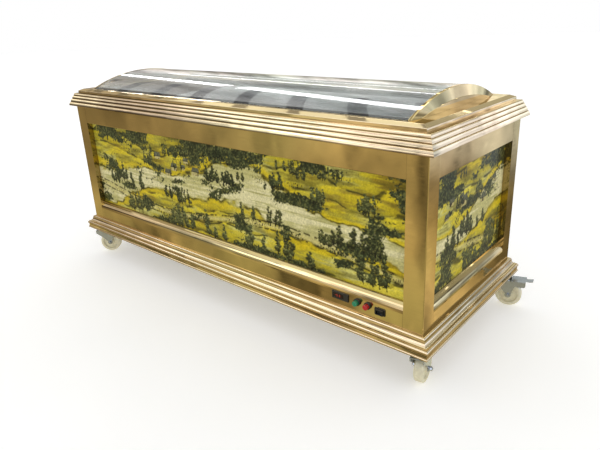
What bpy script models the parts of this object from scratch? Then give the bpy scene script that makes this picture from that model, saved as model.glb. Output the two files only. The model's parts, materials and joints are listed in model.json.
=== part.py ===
"""Refrigerated coffin: a gold sheet-metal cabinet with picture panels, a clear vaulted lid that lifts off,
controls in the front lower rail and four braked swivel castors. Metres, +Z up, floor at z = 0, front
at -Y."""

import math

import bmesh
import bpy
from mathutils import Matrix, Vector

# Driving dimensions of the cabinet
BODY_LENGTH = 2.200
BODY_WIDTH = 0.805
CASTOR_HEIGHT = 0.1545
BASE_HEIGHT = 0.074
BODY_HEIGHT = 0.660
CORNICE_HEIGHT = 0.0665
FIT_GAP = 0.0003
FILLET = 0.0010
EASED_EDGE = 0.0015
OVERCUT = 0.0100

# Walls: sheet-metal frame members, recessed picture panels, insulated tub
FRAME_DEPTH = 0.040
PANEL_RECESS = 0.029
WALL_DEPTH = 0.085
TUB_FLOOR = 0.050
POST_FRONT_WIDTH = 0.083
POST_END_WIDTH = 0.074
POST_CORNER_RADIUS = 0.003
OPENING_BOTTOM = 0.081
OPENING_TOP = 0.565
SILL_RISE = 0.0165
SILL_DEPTH = 0.027
SILL_RADIUS = 0.040

# Base moulding and the deck inside it
BASE_OVERHANG = 0.040
BASE_INNER_MARGIN = 0.080
BASE_BEAD_OFFSET = 0.0140
BASE_BEAD_HEIGHT = 0.0115
BASE_BEAD_RADIUS = 0.0085
BASE_COVE_CENTRE = (0.0345, 0.0120)
BASE_COVE_RADIUS = 0.0190
BASE_TORUS_CENTRE = (0.0310, 0.0415)
BASE_TORUS_RADIUS = 0.0090
BASE_QUIRK_OFFSET = 0.0330
BASE_QUIRK_DROPS = (0.0325, 0.0515)
BASE_BAND_OFFSET = 0.0360
BASE_BAND_DROP = 0.0625
BASE_FOOT_RADIUS = 0.0050
BASE_FOOT_RISE = 0.0055
DECK_THICKNESS = 0.040

# Cornice steps: offset of the foot of each face from the body and height of each step, from the top
# down; the faces lean back by the angle, in degrees
CORNICE_STEPS = ((0.0045, 0.0135), (0.0120, 0.0160), (0.0195, 0.0175), (0.0280, 0.0195))
CORNICE_LEAN = 17
CORNICE_STEP_RADIUS = 0.0045
CORNICE_QUIRK = 0.0012

# Lid: flat frame, clear vault and bevelled end caps
LID_FRAME_INSET = 0.0212
LID_FRAME_MARGIN_Y = 0.0137
LID_FRAME_THICKNESS = 0.0140
LID_EDGE_RADIUS = 0.0030
LID_SLOPE_WIDTH = 0.0220
LID_SLOPE_RISE = 0.0080
LID_OPENING_HALF_X = 0.955
LID_OPENING_HALF_Y = 0.315
VAULT_HALF_WIDTH = 0.342
VAULT_RISE = 0.0745
VAULT_THICKNESS = 0.006
VAULT_HALF_LENGTH = 0.983
CAP_RIM = 0.0120
CAP_PROUD = 0.0016
CAP_HALF_X = 1.006
CAP_LUNETTE_HALF = 0.288
CAP_LUNETTE_RISE = 0.033
CAP_SHEET = 0.002
ARCH_SEGMENTS = 26

# Controls on the front lower rail: centre along X, centre height over the body's foot
THERMOSTAT_X = 0.7365
THERMOSTAT_SIZE = (0.080, 0.033)
THERMOSTAT_PROUD = 0.0040
WINDOW_SIZE = (0.050, 0.019)
WINDOW_OFFSET = -0.008
WINDOW_SINK = 0.0018
WINDOW_SHEET = 0.0007
CONTROL_HEIGHT = 0.044
GREEN_BUTTON_X = 0.8170
RED_BUTTON_X = 0.8655
BEZEL_RADIUS = 0.0150
BEZEL_PROUD = 0.0080
BUTTON_RADIUS = 0.0112
BUTTON_CLEARANCE = 0.0004
BUTTON_FRONT = 0.0240
BUTTON_BACK = 0.0045
BUTTON_EDGE_RADIUS = 0.0030
BUTTON_CROWN = 0.0010
INLET_X = 0.920
INLET_SIZE = (0.046, 0.026)
INLET_HEIGHT = 0.036
INLET_PROUD = 0.0100
INLET_FLANGE = 0.0030
INLET_SOCKET = (0.027, 0.016)
INLET_SOCKET_DEPTH = 0.0085
INLET_WALL = 0.0030
INLET_PIN = (0.0020, 0.0040, 0.0040)
INLET_PIN_PLACES = ((-0.007, -0.001), (0, 0.002), (0.007, -0.001))

# Castors: nylon wheel, trailing fork, brake pedal that straddles the fork
CASTOR_X = 1.082
CASTOR_Y = 0.386
CASTOR_TRAIL = 0.040
WHEEL_RADIUS = 0.0585
WHEEL_WIDTH = 0.038
HUB_WIDTH = 0.044
HUB_RADIUS = 0.017
WEB_WIDTH = 0.018
RIM_INNER_RADIUS = 0.041
TREAD_EDGE = 0.008
WHEEL_DRAFT = 0.002
AXLE_RADIUS = 0.005
AXLE_CLEARANCE = 0.0004
PLATE_SIZE = (0.095, 0.080)
PLATE_THICKNESS = 0.0035
RACE_RADIUS = 0.033
RACE_BOTTOM = 0.1420
RACE_CHAMFER = 0.002
RACE_CLEARANCE = 0.0005
FORK_INNER_WIDTH = 0.048
FORK_SHEET = 0.0035
FORK_BRIDGE_TOP = 0.1350
FORK_RACE_RADIUS = 0.029
FORK_TIP_RADIUS = 0.014
FORK_FRONT = 0.034
FORK_LIP = 0.1185
FORK_WAIST_FRONT = (0.008, 0.087)
FORK_WAIST_BACK = (0.058, 0.084)
FORK_EAR_RADIUS = 0.0095
FORK_BRIDGE_END = 0.0445
NUT_ACROSS = 0.015
NUT_HEIGHT = 0.009
BOLT_END = 0.003
PEDAL_PIVOT = (0.064, 0.1185)
PEDAL_SHEET = 0.003
PEDAL_CLEARANCE = 0.0015
PEDAL_PIN = 0.0030
PEDAL_BOSS = 0.0105
PEDAL_HEEL = (0.0500, 0.1325)
PEDAL_TOE = (0.1130, 0.1360)
PEDAL_FLANGE_DROP = 0.028
PEDAL_TOE_CUT = 0.007
TONGUE_HALF_WIDTH = 0.015
TONGUE_ROOT = 0.106
TONGUE_KNEE = (0.1280, 0.1362)
TONGUE_TIP = (0.1430, 0.1400)
SHOE_FROM = 52
SHOE_TO = 36
SHOE_HANGER = (44, 40)
SHOE_CLEARANCE = 0.0070
SHOE_HALF_WIDTH = 0.017
WHEEL_SEGMENTS = 20
RACE_SEGMENTS = 16
BORE_SEGMENTS = 10
LATHE_SEGMENTS = 20

# Heights that follow from the driving dimensions
BODY_FOOT = CASTOR_HEIGHT + BASE_HEIGHT
BODY_TOP = BODY_FOOT + BODY_HEIGHT
CORNICE_TOP = BODY_TOP + CORNICE_HEIGHT
LID_EDGE_TOP = CORNICE_TOP + FIT_GAP + LID_FRAME_THICKNESS
LID_TOP = LID_EDGE_TOP + LID_SLOPE_RISE
HALF_X = BODY_LENGTH / 2
HALF_Y = BODY_WIDTH / 2

# Castor places: name, sign along X, sign along Y, direction the wheel trails in
CASTORS = (
    ("front_right", 1, -1, math.radians(100)),
    ("back_right", 1, 1, math.radians(13)),
    ("front_left", -1, -1, math.radians(40)),
    ("back_left", -1, 1, math.radians(167)),
)

# Colours as linear values, roughness and metallic value of each material
MATERIALS = {
    "gold_mirror_steel": ((0.62, 0.41, 0.13), 0.12, 1.0),
    "clear_acrylic": ((0.86, 0.90, 0.90), 0.03, 0.0),
    "stainless_steel": ((0.58, 0.59, 0.60), 0.25, 1.0),
    "picture_print": ((0.42, 0.40, 0.10), 0.20, 0.0),
    "black_plastic": ((0.02, 0.02, 0.02), 0.35, 0.0),
    "display_window": ((0.03, 0.01, 0.01), 0.10, 0.0),
    "green_plastic": ((0.02, 0.35, 0.20), 0.30, 0.0),
    "red_plastic": ((0.60, 0.02, 0.03), 0.30, 0.0),
    "zinc_steel": ((0.50, 0.52, 0.55), 0.35, 1.0),
    "cream_nylon": ((0.75, 0.68, 0.45), 0.45, 0.0),
}


def make_material(name):
    """A Principled material with the named colour, roughness and metallic value."""
    colour, roughness, metallic = MATERIALS[name]
    material = bpy.data.materials.new(name)
    material.use_nodes = True
    shader = material.node_tree.nodes["Principled BSDF"]
    shader.inputs["Base Color"].default_value = (*colour, 1.0)
    shader.inputs["Roughness"].default_value = roughness
    shader.inputs["Metallic"].default_value = metallic
    material.diffuse_color = (*colour, 1.0)
    return material


def place(name, bm, material, location=(0, 0, 0), parent=None, smooth_angle=None):
    """Turn a bmesh into a named object with its material, outward faces and shading."""
    bmesh.ops.recalc_face_normals(bm, faces=bm.faces[:])
    mesh = bpy.data.meshes.new(name)
    bm.to_mesh(mesh)
    bm.free()
    obj = bpy.data.objects.new(name, mesh)
    bpy.context.scene.collection.objects.link(obj)
    mesh.materials.append(bpy.data.materials.get(material) or make_material(material))
    obj.location = location
    obj.parent = parent
    if smooth_angle:
        mesh.polygons.foreach_set("use_smooth", [True] * len(mesh.polygons))
        mesh.set_sharp_from_angle(angle=math.radians(smooth_angle))
    return obj


def prism(points, to_world, low, high):
    """Closed prism over a plane outline; to_world maps (a, b, along) to a world point."""
    bm = bmesh.new()
    bottom = [bm.verts.new(to_world(a, b, low)) for a, b in points]
    top = [bm.verts.new(to_world(a, b, high)) for a, b in points]
    bm.faces.new(bottom)
    bm.faces.new(list(reversed(top)))
    count = len(points)
    for i in range(count):
        j = (i + 1) % count
        bm.faces.new((bottom[i], bottom[j], top[j], top[i]))
    return bm


def cuboid(low, high):
    """Closed box between two corners."""
    outline = ((low[0], low[1]), (high[0], low[1]), (high[0], high[1]), (low[0], high[1]))
    return prism(outline, lambda a, b, along: (a, b, along), low[2], high[2])


def rectangle_stack(levels, closed):
    """Skin over rectangles (half x, half y, z); a closed stack is a ring, an open one has flat ends."""
    bm = bmesh.new()
    loops = []
    for half_x, half_y, z in levels:
        corners = ((-half_x, -half_y), (half_x, -half_y), (half_x, half_y), (-half_x, half_y))
        loops.append([bm.verts.new((x, y, z)) for x, y in corners])
    pairs = list(zip(loops, loops[1:]))
    if closed:
        pairs.append((loops[-1], loops[0]))
    else:
        bm.faces.new(loops[0])
        bm.faces.new(loops[-1])
    for one, two in pairs:
        for i in range(4):
            j = (i + 1) % 4
            bm.faces.new((one[i], one[j], two[j], two[i]))
    return bm


def lathe(profile, segments, matrix=Matrix(), phase=0.0):
    """Turned solid about Z from a closed outline of (radius, z); a radius of 0 closes on the axis."""
    bm = bmesh.new()
    rings = []
    for radius, z in profile:
        if radius == 0:
            rings.append([bm.verts.new((0, 0, z))])
            continue
        turn = [2 * math.pi * (k + phase) / segments for k in range(segments)]
        rings.append([bm.verts.new((radius * math.cos(t), radius * math.sin(t), z)) for t in turn])
    pairs = list(zip(rings, rings[1:]))
    if profile[0][0] and profile[-1][0]:
        pairs.append((rings[-1], rings[0]))
    for one, two in pairs:
        for k in range(segments):
            n = (k + 1) % segments
            if len(one) == 1 and len(two) == 1:
                continue
            if len(one) == 1:
                bm.faces.new((one[0], two[n], two[k]))
            elif len(two) == 1:
                bm.faces.new((one[k], one[n], two[0]))
            else:
                bm.faces.new((one[k], one[n], two[n], two[k]))
    bmesh.ops.transform(bm, matrix=matrix, verts=bm.verts[:])
    return bm


def combine(target, tool, operation):
    """Boolean of two bmeshes with Blender's exact solver; both are used up and the result is returned."""
    objects = []
    for name, bm in (("boolean_target", target), ("boolean_tool", tool)):
        bmesh.ops.recalc_face_normals(bm, faces=bm.faces[:])
        mesh = bpy.data.meshes.new(name)
        bm.to_mesh(mesh)
        bm.free()
        obj = bpy.data.objects.new(name, mesh)
        bpy.context.scene.collection.objects.link(obj)
        objects.append(obj)
    modifier = objects[0].modifiers.new("cut", "BOOLEAN")
    modifier.operation = operation
    modifier.solver = "EXACT"
    modifier.object = objects[1]
    graph = bpy.context.evaluated_depsgraph_get()
    result = bmesh.new()
    result.from_object(objects[0], graph)
    for obj in objects:
        mesh = obj.data
        bpy.data.objects.remove(obj)
        bpy.data.meshes.remove(mesh)
    return result


def arc(centre, radius, start, end, steps):
    """Points along a circular arc, angles in degrees."""
    turns = [math.radians(start + (end - start) * k / steps) for k in range(steps + 1)]
    return [(centre[0] + radius * math.cos(t), centre[1] + radius * math.sin(t)) for t in turns]


# Each side of the cabinet: (along, depth inward, z) to world
SIDES = {
    "front": lambda along, depth, z: (along, -HALF_Y + depth, z),
    "back": lambda along, depth, z: (-along, HALF_Y - depth, z),
    "right": lambda along, depth, z: (HALF_X - depth, along, z),
    "left": lambda along, depth, z: (-HALF_X + depth, -along, z),
}


def side_half_length(side):
    """Half of the clear width between the two posts of a side."""
    if side in ("front", "back"):
        return HALF_X - POST_FRONT_WIDTH - FIT_GAP
    return HALF_Y - POST_END_WIDTH - FIT_GAP


def base_moulding():
    """Ring under the cabinet: fillet, cavetto, half-round bead, flat band and bottom bead."""
    top = BODY_FOOT - FIT_GAP
    bottom = CASTOR_HEIGHT
    outline = [(-BASE_INNER_MARGIN, bottom), (-BASE_INNER_MARGIN, top)]
    bead = (BASE_BEAD_OFFSET - BASE_BEAD_RADIUS, top - BASE_BEAD_RADIUS)
    outline += arc(bead, BASE_BEAD_RADIUS, 90, 0, 6)
    bead_foot = top - BASE_BEAD_HEIGHT
    outline += [(BASE_BEAD_OFFSET, bead_foot), (BASE_BEAD_OFFSET + FILLET, bead_foot)]
    across, drop = BASE_COVE_CENTRE
    outline += arc((across, top - drop), BASE_COVE_RADIUS, 185, 265, 7)
    outline += [(BASE_QUIRK_OFFSET, top - BASE_QUIRK_DROPS[0])]
    across, drop = BASE_TORUS_CENTRE
    outline += arc((across, top - drop), BASE_TORUS_RADIUS, 80, -80, 8)
    lower_quirk = top - BASE_QUIRK_DROPS[1]
    outline += [(BASE_QUIRK_OFFSET, lower_quirk), (BASE_BAND_OFFSET, lower_quirk)]
    outline += [(BASE_BAND_OFFSET, top - BASE_BAND_DROP)]
    foot = BASE_OVERHANG - BASE_FOOT_RADIUS
    outline += arc((foot, bottom + BASE_FOOT_RISE), BASE_FOOT_RADIUS, 80, -60, 6)
    outline += [(foot - FILLET / 2, bottom)]
    levels = [(HALF_X + offset, HALF_Y + offset, z) for offset, z in outline]
    place("base_moulding", rectangle_stack(levels, True), "gold_mirror_steel", smooth_angle=32)


def base_deck():
    """Flat deck let into the base moulding, flush with its top."""
    half_x = HALF_X - BASE_INNER_MARGIN - FIT_GAP
    half_y = HALF_Y - BASE_INNER_MARGIN - FIT_GAP
    top = BODY_FOOT - FIT_GAP
    deck = cuboid((-half_x, -half_y, top - DECK_THICKNESS), (half_x, half_y, top))
    place("base_deck", deck, "stainless_steel")


def corner_posts():
    """Four posts with an L-shaped plan that wrap the cabinet's corners."""
    long_arm = POST_FRONT_WIDTH
    short_arm = POST_END_WIDTH
    radius = POST_CORNER_RADIUS
    plan = arc((radius, radius), radius, 180, 270, 4)
    plan += [(long_arm, 0), (long_arm, FRAME_DEPTH), (FRAME_DEPTH, FRAME_DEPTH)]
    plan += [(FRAME_DEPTH, short_arm), (0, short_arm)]
    for end, sign_x in (("left", -1), ("right", 1)):
        for face, sign_y in (("front", -1), ("back", 1)):
            outline = [(sign_x * (HALF_X - a), sign_y * (HALF_Y - b)) for a, b in plan]
            bm = prism(outline, lambda a, b, along: (a, b, along), BODY_FOOT, BODY_TOP - FIT_GAP)
            place(f"corner_post_{face}_{end}", bm, "gold_mirror_steel", smooth_angle=32)


def rails():
    """Top and bottom rails of each side; the bottom rails end in a rounded sill under the picture."""
    low = BODY_FOOT
    sill_top = BODY_FOOT + OPENING_BOTTOM + SILL_RISE
    turn = math.acos(1 - SILL_DEPTH / SILL_RADIUS)
    bottom_outline = [(FRAME_DEPTH, low), (0, low)]
    centre = (SILL_RADIUS, sill_top - SILL_RADIUS * math.sin(turn))
    bottom_outline += arc(centre, SILL_RADIUS, 180, 180 - math.degrees(turn), 8)
    bottom_outline += [(FRAME_DEPTH, sill_top)]
    top_low = BODY_FOOT + OPENING_TOP
    top_high = BODY_TOP - FIT_GAP
    top_outline = [(0, top_low + EASED_EDGE), (EASED_EDGE, top_low), (FRAME_DEPTH, top_low)]
    top_outline += [(FRAME_DEPTH, top_high), (0, top_high)]
    for side, to_world in SIDES.items():
        half = side_half_length(side)
        for level, outline in (("bottom", bottom_outline), ("top", top_outline)):
            bm = prism(outline, lambda a, b, along: to_world(along, a, b), -half, half)
            place(f"{level}_rail_{side}", bm, "gold_mirror_steel", smooth_angle=32)


def picture_panels():
    """Printed panels set back in the four openings, flush with the back of the frame members."""
    low = BODY_FOOT + OPENING_BOTTOM + SILL_RISE + FIT_GAP
    high = BODY_FOOT + OPENING_TOP - FIT_GAP
    outline = ((PANEL_RECESS, low), (FRAME_DEPTH, low), (FRAME_DEPTH, high), (PANEL_RECESS, high))
    for side, to_world in SIDES.items():
        half = side_half_length(side)
        bm = prism(outline, lambda a, b, along: to_world(along, a, b), -half, half)
        place(f"picture_panel_{side}", bm, "picture_print")


def insulated_tub():
    """Hollow insulated box with a stainless inner face, open at the top."""
    outer_x = HALF_X - FRAME_DEPTH - FIT_GAP
    outer_y = HALF_Y - FRAME_DEPTH - FIT_GAP
    inner_x = HALF_X - WALL_DEPTH
    inner_y = HALF_Y - WALL_DEPTH
    levels = [(outer_x, outer_y, BODY_FOOT), (outer_x, outer_y, CORNICE_TOP)]
    levels += [(inner_x, inner_y, CORNICE_TOP), (inner_x, inner_y, BODY_FOOT + TUB_FLOOR)]
    place("insulated_tub", rectangle_stack(levels, False), "stainless_steel")


def cornice():
    """Ring round the cabinet's top in four steps that widen downwards, each a leaning face under a nose."""
    lean = math.radians(CORNICE_LEAN)
    radius = CORNICE_STEP_RADIUS
    outline = [(-FRAME_DEPTH, BODY_TOP), (-FRAME_DEPTH, CORNICE_TOP)]
    z = CORNICE_TOP
    for face, height in CORNICE_STEPS:
        fall = height - radius + radius * math.sin(lean) - CORNICE_QUIRK
        across = face - fall * math.tan(lean) - radius * math.cos(lean)
        outline += arc((across, z - radius), radius, 90, CORNICE_LEAN, 5)
        z -= height
        if z > BODY_TOP + EASED_EDGE:
            outline += [(face, z + CORNICE_QUIRK), (face - CORNICE_QUIRK, z)]
    widest = CORNICE_STEPS[-1][0]
    outline += [(widest, BODY_TOP + EASED_EDGE), (widest - EASED_EDGE, BODY_TOP)]
    levels = [(HALF_X + offset, HALF_Y + offset, z) for offset, z in outline]
    place("cornice", rectangle_stack(levels, True), "gold_mirror_steel", smooth_angle=32)


def lid_frame():
    """Ring with a sloped margin under the vault and end caps; it rests on the cornice and the tub's rim."""
    low = CORNICE_TOP + FIT_GAP
    half_x = HALF_X - LID_FRAME_INSET
    half_y = HALF_Y - LID_FRAME_MARGIN_Y
    levels = [(LID_OPENING_HALF_X, LID_OPENING_HALF_Y, low), (half_x, half_y, low)]
    for back, z in arc((-LID_EDGE_RADIUS, LID_EDGE_TOP - LID_EDGE_RADIUS), LID_EDGE_RADIUS, 0, 70, 4):
        levels.append((half_x + back, half_y + back, z))
    levels.append((half_x - LID_SLOPE_WIDTH, half_y - LID_SLOPE_WIDTH, LID_TOP))
    levels.append((LID_OPENING_HALF_X, LID_OPENING_HALF_Y, LID_TOP))
    place("lid_frame", rectangle_stack(levels, True), "gold_mirror_steel", smooth_angle=32)


def arch(half_width, rise, foot, segments=ARCH_SEGMENTS):
    """Circular arch over a chord: points (y, z) from one foot to the other."""
    radius = (half_width**2 + rise**2) / (2 * rise)
    reach = math.asin(half_width / radius)
    turns = [reach * (2 * k / segments - 1) for k in range(segments + 1)]
    return [(radius * math.sin(t), foot + radius * math.cos(t) - (radius - rise)) for t in turns]


def canopy():
    """Clear bent sheet: a circular vault of constant thickness, cut level at its feet."""
    foot = LID_TOP + FIT_GAP
    radius = (VAULT_HALF_WIDTH**2 + VAULT_RISE**2) / (2 * VAULT_RISE)
    inner_half = math.sqrt((radius - VAULT_THICKNESS) ** 2 - (radius - VAULT_RISE) ** 2)
    outer = arch(VAULT_HALF_WIDTH, VAULT_RISE, foot)
    inner = arch(inner_half, VAULT_RISE - VAULT_THICKNESS, foot)
    outline = outer + list(reversed(inner))
    bm = bmesh.new()
    ends = []
    for x in (-VAULT_HALF_LENGTH, VAULT_HALF_LENGTH):
        ends.append([bm.verts.new((x, y, z)) for y, z in outline])
    count = len(outline)
    for i in range(count):
        j = (i + 1) % count
        bm.faces.new((ends[0][i], ends[0][j], ends[1][j], ends[1][i]))
    for end in ends:
        for i in range(ARCH_SEGMENTS):
            bm.faces.new((end[i], end[i + 1], end[count - 2 - i], end[count - 1 - i]))
    place("canopy", bm, "clear_acrylic", smooth_angle=32)


def end_caps():
    """Sheet-metal end of the vault: a narrow rim, a bevel and a low arched lunette, hollow inside."""
    foot = LID_TOP + FIT_GAP
    start = VAULT_HALF_LENGTH + FIT_GAP
    rim_half = VAULT_HALF_WIDTH + CAP_PROUD
    rim_rise = VAULT_RISE + CAP_PROUD
    stations = (
        (start, rim_half, rim_rise),
        (start + CAP_RIM, rim_half, rim_rise),
        (CAP_HALF_X, CAP_LUNETTE_HALF, CAP_LUNETTE_RISE),
    )
    for side, sign in (("left", -1), ("right", 1)):
        bm = bmesh.new()
        skins = []
        for inset, back in ((0, 0), (CAP_SHEET, CAP_SHEET)):
            rows = []
            for index, (x, half, rise) in enumerate(stations):
                x -= back if index == 2 else 0
                points = arch(half - inset, rise - inset, foot)
                rows.append([bm.verts.new((sign * x, y, z)) for y, z in points])
            skins.append(rows)
        for rows in skins:
            for one, two in zip(rows, rows[1:]):
                for i in range(ARCH_SEGMENTS):
                    bm.faces.new((one[i], one[i + 1], two[i + 1], two[i]))
            bm.faces.new(rows[-1])
        outer, inner = skins
        for i in range(ARCH_SEGMENTS):
            bm.faces.new((outer[0][i], outer[0][i + 1], inner[0][i + 1], inner[0][i]))
        for end in (0, -1):
            for index in range(len(stations) - 1):
                one, two = outer[index][end], outer[index + 1][end]
                bm.faces.new((one, two, inner[index + 1][end], inner[index][end]))
        bm.faces.new((outer[-1][0], outer[-1][-1], inner[-1][-1], inner[-1][0]))
        place(f"end_cap_{side}", bm, "gold_mirror_steel", smooth_angle=25)


def thermostat():
    """Flat control case with a sunk display window, proud of the rail's face."""
    front = -HALF_Y - FIT_GAP
    width, height = THERMOSTAT_SIZE
    z = BODY_FOOT + CONTROL_HEIGHT
    case = cuboid(
        (THERMOSTAT_X - width / 2, front - THERMOSTAT_PROUD, z - height / 2),
        (THERMOSTAT_X + width / 2, front, z + height / 2),
    )
    bmesh.ops.bevel(
        case,
        geom=[e for e in case.edges if all(v.co.y < front - 1e-4 for v in e.verts)],
        offset=FILLET,
        segments=2,
        affect="EDGES",
    )
    centre_x = THERMOSTAT_X + WINDOW_OFFSET
    half_w, half_h = WINDOW_SIZE[0] / 2, WINDOW_SIZE[1] / 2
    sunk = front - THERMOSTAT_PROUD + WINDOW_SINK
    pocket = cuboid((centre_x - half_w, front - OVERCUT, z - half_h), (centre_x + half_w, sunk, z + half_h))
    place("thermostat_case", combine(case, pocket, "DIFFERENCE"), "black_plastic", smooth_angle=32)
    half_w -= FIT_GAP
    half_h -= FIT_GAP
    back = sunk - FIT_GAP
    low = (centre_x - half_w, back - WINDOW_SHEET, z - half_h)
    window = cuboid(low, (centre_x + half_w, back, z + half_h))
    place("thermostat_window", window, "display_window")


def push_button(name, x, material):
    """Round push button sliding in a ring bezel; its origin is on the slide axis at the rail's face."""
    facing = Matrix.Rotation(math.radians(90), 4, "X")
    bore = BUTTON_RADIUS + BUTTON_CLEARANCE
    outline = [(bore, FIT_GAP), (BEZEL_RADIUS, FIT_GAP)]
    outline += arc((BEZEL_RADIUS - EASED_EDGE, BEZEL_PROUD - EASED_EDGE), EASED_EDGE, 0, 90, 2)
    outline += [(bore, BEZEL_PROUD)]
    centre = (x, -HALF_Y, BODY_FOOT + CONTROL_HEIGHT)
    place(f"{name}_bezel", lathe(outline, LATHE_SEGMENTS, facing), "black_plastic", centre, smooth_angle=32)
    edge = BUTTON_EDGE_RADIUS
    outline = [(0, BUTTON_BACK), (BUTTON_RADIUS, BUTTON_BACK)]
    outline += arc((BUTTON_RADIUS - edge, BUTTON_FRONT - BUTTON_CROWN - edge), edge, 0, 70, 3)
    outline += [(0, BUTTON_FRONT)]
    place(f"{name}_button", lathe(outline, LATHE_SEGMENTS, facing), material, centre, smooth_angle=32)


def power_inlet():
    """Mains inlet: a flange on the rail, a shroud with a socket and three short pins."""
    z = BODY_FOOT + INLET_HEIGHT
    front = -HALF_Y - FIT_GAP
    tip = front - INLET_PROUD
    width, height = INLET_SIZE
    low = (INLET_X - width / 2, front - INLET_FLANGE, z - height / 2)
    flange = cuboid(low, (INLET_X + width / 2, front, z + height / 2))
    half_w = INLET_SOCKET[0] / 2 + INLET_WALL
    half_h = INLET_SOCKET[1] / 2 + INLET_WALL
    shroud = cuboid((INLET_X - half_w, tip, z - half_h), (INLET_X + half_w, front - FILLET, z + half_h))
    body = combine(flange, shroud, "UNION")
    floor = tip + INLET_SOCKET_DEPTH
    half_w, half_h = INLET_SOCKET[0] / 2, INLET_SOCKET[1] / 2
    socket = cuboid((INLET_X - half_w, tip - OVERCUT, z - half_h), (INLET_X + half_w, floor, z + half_h))
    body = combine(body, socket, "DIFFERENCE")
    thick, tall, length = INLET_PIN
    for across, up in INLET_PIN_PLACES:
        low = (INLET_X + across - thick / 2, floor - length, z + up - tall / 2)
        high = (INLET_X + across + thick / 2, floor + FILLET, z + up + tall / 2)
        body = combine(body, cuboid(low, high), "UNION")
    place("power_inlet", body, "black_plastic")


def castor_plate(name, mount):
    """Flat mounting plate with the upper race of the swivel pressed into it."""
    top = CASTOR_HEIGHT - FIT_GAP
    half_a, half_b = PLATE_SIZE[0] / 2, PLATE_SIZE[1] / 2
    plate = cuboid((-half_a, -half_b, top - PLATE_THICKNESS), (half_a, half_b, top))
    race_top = top - PLATE_THICKNESS / 2
    outline = [(0, RACE_BOTTOM), (RACE_RADIUS - RACE_CHAMFER, RACE_BOTTOM)]
    outline += [(RACE_RADIUS, RACE_BOTTOM + RACE_CHAMFER), (RACE_RADIUS, race_top), (0, race_top)]
    race = lathe(outline, RACE_SEGMENTS)
    place(f"castor_plate_{name}", combine(plate, race, "UNION"), "zinc_steel", mount, smooth_angle=32)


def fork_side_outline():
    """Side view of a fork cheek, x in the trailing direction: wide at the bridge, round at axle and ear."""
    leading = [(-FORK_FRONT, FORK_BRIDGE_TOP), (-FORK_FRONT, FORK_LIP), FORK_WAIST_FRONT]
    tip = arc((CASTOR_TRAIL, WHEEL_RADIUS), FORK_TIP_RADIUS, 155, 370, 8)
    ear = arc(PEDAL_PIVOT, FORK_EAR_RADIUS, -40, 90, 4)
    foot = (FORK_BRIDGE_END + FORK_SHEET, PEDAL_PIVOT[1] + FORK_EAR_RADIUS)
    return leading + tip + [FORK_WAIST_BACK] + ear + [foot, (FORK_BRIDGE_END, FORK_BRIDGE_TOP)]


def castor_fork(name, pivot):
    """Pressed fork: two cheeks and a bridge, the lower race on top, holes for the axle and the pedal pin."""
    outer = FORK_INNER_WIDTH / 2 + FORK_SHEET
    inner = FORK_INNER_WIDTH / 2
    fork = prism(fork_side_outline(), lambda a, b, along: (a, along, b), -outer, outer)
    reach = CASTOR_HEIGHT
    wheel_space = cuboid((-reach, -inner, 0), (reach, inner, FORK_BRIDGE_TOP - FORK_SHEET))
    fork = combine(fork, wheel_space, "DIFFERENCE")
    pedal_space = cuboid((FORK_BRIDGE_END - FORK_SHEET, -inner, FORK_WAIST_BACK[1]), (reach, inner, reach))
    fork = combine(fork, pedal_space, "DIFFERENCE")
    race_top = RACE_BOTTOM - RACE_CLEARANCE
    race_foot = FORK_BRIDGE_TOP - FILLET
    outline = [(0, race_foot), (FORK_RACE_RADIUS, race_foot), (FORK_RACE_RADIUS, race_top - RACE_CHAMFER)]
    outline += [(FORK_RACE_RADIUS - RACE_CHAMFER, race_top), (0, race_top)]
    race = lathe(outline, RACE_SEGMENTS)
    fork = combine(fork, race, "UNION")
    for x, z, radius in ((CASTOR_TRAIL, WHEEL_RADIUS, AXLE_RADIUS), (*PEDAL_PIVOT, PEDAL_PIN)):
        across = Matrix.Translation((x, 0, z)) @ Matrix.Rotation(math.radians(90), 4, "X")
        hole = radius + AXLE_CLEARANCE
        drill = lathe([(0, -reach), (hole, -reach), (hole, reach), (0, reach)], BORE_SEGMENTS, across)
        fork = combine(fork, drill, "DIFFERENCE")
    place(f"castor_fork_{name}", fork, "zinc_steel", parent=pivot, smooth_angle=32)


def castor_wheel(name, pivot):
    """Nylon wheel with hub, web and rounded tread, its origin on the axle; a facet lies on the floor."""
    half = WHEEL_WIDTH / 2
    hub = HUB_WIDTH / 2
    web = WEB_WIDTH / 2
    bore = AXLE_RADIUS + AXLE_CLEARANCE
    side = [(bore, hub), (HUB_RADIUS, hub), (HUB_RADIUS + WHEEL_DRAFT, web), (RIM_INNER_RADIUS, web)]
    side += [(RIM_INNER_RADIUS + WHEEL_DRAFT, half)]
    side += arc((WHEEL_RADIUS - TREAD_EDGE, half - TREAD_EDGE), TREAD_EDGE, 90, 0, 2)
    flats = math.cos(math.pi / WHEEL_SEGMENTS)
    side = [(radius / flats, z) for radius, z in side]
    mirrored = [(radius, -z) for radius, z in reversed(side)]
    across = Matrix.Rotation(math.radians(90), 4, "X")
    bm = lathe(side + mirrored, WHEEL_SEGMENTS, across, 0.5)
    place(f"castor_wheel_{name}", bm, "cream_nylon", (CASTOR_TRAIL, 0, WHEEL_RADIUS), pivot, 32)


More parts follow.
